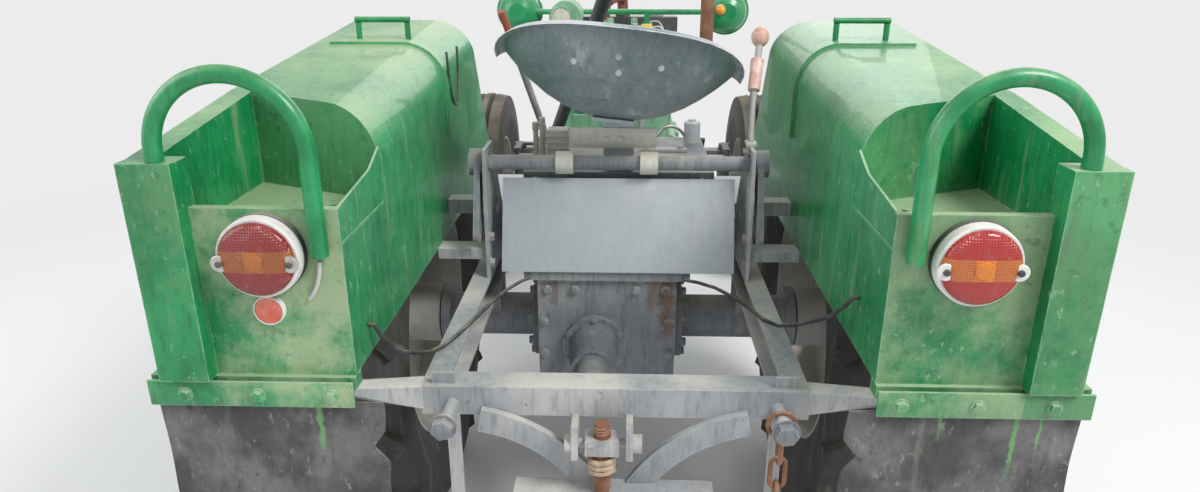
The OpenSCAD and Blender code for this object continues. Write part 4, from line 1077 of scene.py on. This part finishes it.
# Lever with a round knob on top of the right upright: foot, rod, sleeve and knob
knobLever = {
    "foot": (0.304, -0.765, 1.007), "bend": (0.306, -0.740, 1.060), "upper": (0.317, -0.690, 1.145),
    "top": (0.330, -0.640, 1.225), "rod": 0.008,
    "block": ((-0.012, -0.016, 0), (0.012, 0.016, 0.010)),
    "tab": ((-0.008, -0.014, -0.030), (-0.0045, 0.014, 0.004)),
    "bolt": (-0.008, 0, -0.014), "boltSize": (0.013, 0.008),
    "sleeve": ((-0.050, 0), (-0.050, 0.009), (-0.046, 0.014), (0.030, 0.0155), (0.034, 0.010), (0.034, 0)),
    "sleevePlace": (0.3195, -0.6795, 1.162), "knobPlace": (0.331, -0.636, 1.238),
    "knob": 0.021, "knobTall": 1.15, "rodUp": 0.008,
}


def knobLeverFoot():
    s = knobLever
    foot = Vector(s["foot"])
    bm = bmesh.new()
    for (low, high), bevel in ((s["block"], 0.002), (s["tab"], 0.001)):
        slab(bm, foot + Vector(low), foot + Vector(high), bevel=bevel)
    hexBolt(bm, foot + Vector(s["bolt"]), (-1, 0, 0), *s["boltSize"])
    pieceFrom(bm, "knobLeverFoot", [finishes["pale_plate"]])


def knobLeverTop():
    s = knobLever
    lean = (Vector(s["top"]) - Vector(s["upper"])).to_track_quat("Z", "Y").to_matrix()
    bm = bmesh.new()
    spun(bm, s["sleeve"], axis="Z", steps=28)
    sleeve = list(bm.verts)
    bmesh.ops.rotate(bm, verts=sleeve, cent=(0, 0, 0), matrix=lean)
    bmesh.ops.translate(bm, verts=sleeve, vec=s["sleevePlace"])
    knob = bmesh.ops.create_uvsphere(bm, u_segments=32, v_segments=20, radius=s["knob"])["verts"]
    bmesh.ops.scale(bm, verts=knob, vec=(1, 1, s["knobTall"]))
    bmesh.ops.translate(bm, verts=knob, vec=s["knobPlace"])
    pieceFrom(bm, "knobLeverTop", [knobPaint], smooth=40)


def knobLeverRod():
    s = knobLever
    x, y, z = s["foot"]
    points = [(x, y, z + s["rodUp"]), s["bend"], s["upper"], s["top"]]
    rod("knobLeverRod", points, s["rod"], finishes["rim_paint"])


knobLeverFoot()
knobLeverRod()
knobLeverTop()

# Rope wound round the hitch screw
hitchRope = {"low": 0.553, "pitch": 0.0105, "turns": 3.4, "reach": 0.0213, "radius": 0.0049, "steps": 14}


def ropeCoil():
    s = hitchRope
    coil = []
    for i in range(int(s["turns"] * s["steps"])):
        turn = math.tau * i / s["steps"]
        x = hitchAxis["x"] + s["reach"] * math.cos(turn)
        y = hitchAxis["y"] + s["reach"] * math.sin(turn)
        coil.append((x, y, s["low"] + s["pitch"] * i / s["steps"]))
    return coil


rod("hitchRope", ropeCoil(), hitchRope["radius"], ropeTan, smoothPath=False, sides=4)

# Pale lead that hangs beside the left lamp
lampLead = {"radius": 0.0035,
            "points": ((-0.458, -1.4445, 0.972), (-0.461, -1.446, 0.950), (-0.470, -1.4450, 0.925),
                       (-0.482, -1.4445, 0.908))}
rod("lampLead", lampLead["points"], lampLead["radius"], paleLead)
print("seat, shaft and hitch details made")

# Floor, world and lamps; the floor fades out between the two distances from the middle
studio = {"sky": (0.93, 0.95, 1.0), "skyStrength": 0.55, "pale": (0.84, 0.84, 0.84),
          "floor": (0.80, 0.80, 0.79), "floorRough": 0.9, "floorSize": 200, "fade": (1.2, 4.5)}
lamps = {
    "keyLight": {"place": (3.0, -3.2, 4.6), "target": (0, -0.6, 0.7), "size": 2.0, "power": 230},
    "fillLight": {"place": (-4.0, -2.0, 3.0), "target": (0, -0.4, 0.7), "size": 3.5, "power": 90},
    "frontLight": {"place": (0.5, 4.5, 3.6), "target": (0, 0.6, 0.7), "size": 4.8, "power": 112},
}


def seenRay(tree):
    # 1 for rays that come from the camera, a reflection or glass
    path = shaderNode(tree, "ShaderNodeLightPath").outputs
    seen = larger(tree, path["Is Camera Ray"], path["Is Glossy Ray"])
    return larger(tree, seen, path["Is Transmission Ray"])


def mixShaders(tree, factor, first, second, output):
    blend = shaderNode(tree, "ShaderNodeMixShader")
    for socket, value in zip(blend.inputs, (factor, first.outputs[0], second.outputs[0])):
        tree.links.new(value, socket)
    tree.links.new(blend.outputs[0], tree.nodes[output].inputs["Surface"])


def paleWorld():
    world = bpy.data.worlds.new("studio")
    bpy.context.scene.world = world
    world.use_nodes = True
    tree = world.node_tree
    sky = tree.nodes["Background"]
    setSockets(tree, sky, {"Color": studio["sky"], "Strength": studio["skyStrength"]})
    pale = shaderNode(tree, "ShaderNodeBackground", {"Color": studio["pale"], "Strength": 1.0})
    mixShaders(tree, seenRay(tree), sky, pale, "World Output")


def paleFloor():
    bpy.ops.mesh.primitive_plane_add(size=studio["floorSize"])
    floor = bpy.context.object
    floor.name = "floor"
    mat, tree, bsdf = newMaterial("paleFloor")
    setSockets(tree, bsdf, {"Base Color": studio["floor"], "Roughness": studio["floorRough"]})
    # away from the tractor the floor fades into the same pale tone as the world
    reach = shaderNode(tree, "ShaderNodeVectorMath", operation="LENGTH")
    plug(tree, reach.inputs[0], objectCoords(tree))
    far = product(tree, stepUp(tree, reach.outputs["Value"], *studio["fade"]), seenRay(tree))
    glow = shaderNode(tree, "ShaderNodeEmission", {"Color": studio["pale"], "Strength": 1.0})
    mixShaders(tree, far, bsdf, glow, "Material Output")
    floor.data.materials.append(mat)


def addLamps():
    for name, s in lamps.items():
        data = bpy.data.lights.new(name, "AREA")
        data.shape = "DISK"
        data.size = s["size"]
        data.energy = s["power"]
        lamp = bpy.data.objects.new(name, data)
        lamp.location = s["place"]
        aim = Vector(s["target"]) - Vector(s["place"])
        lamp.rotation_euler = aim.to_track_quat("-Z", "Y").to_euler()
        bpy.context.scene.collection.objects.link(lamp)


paleWorld()
paleFloor()
addLamps()
bpy.context.scene.view_settings.view_transform = "Standard"
print("stage and light set")
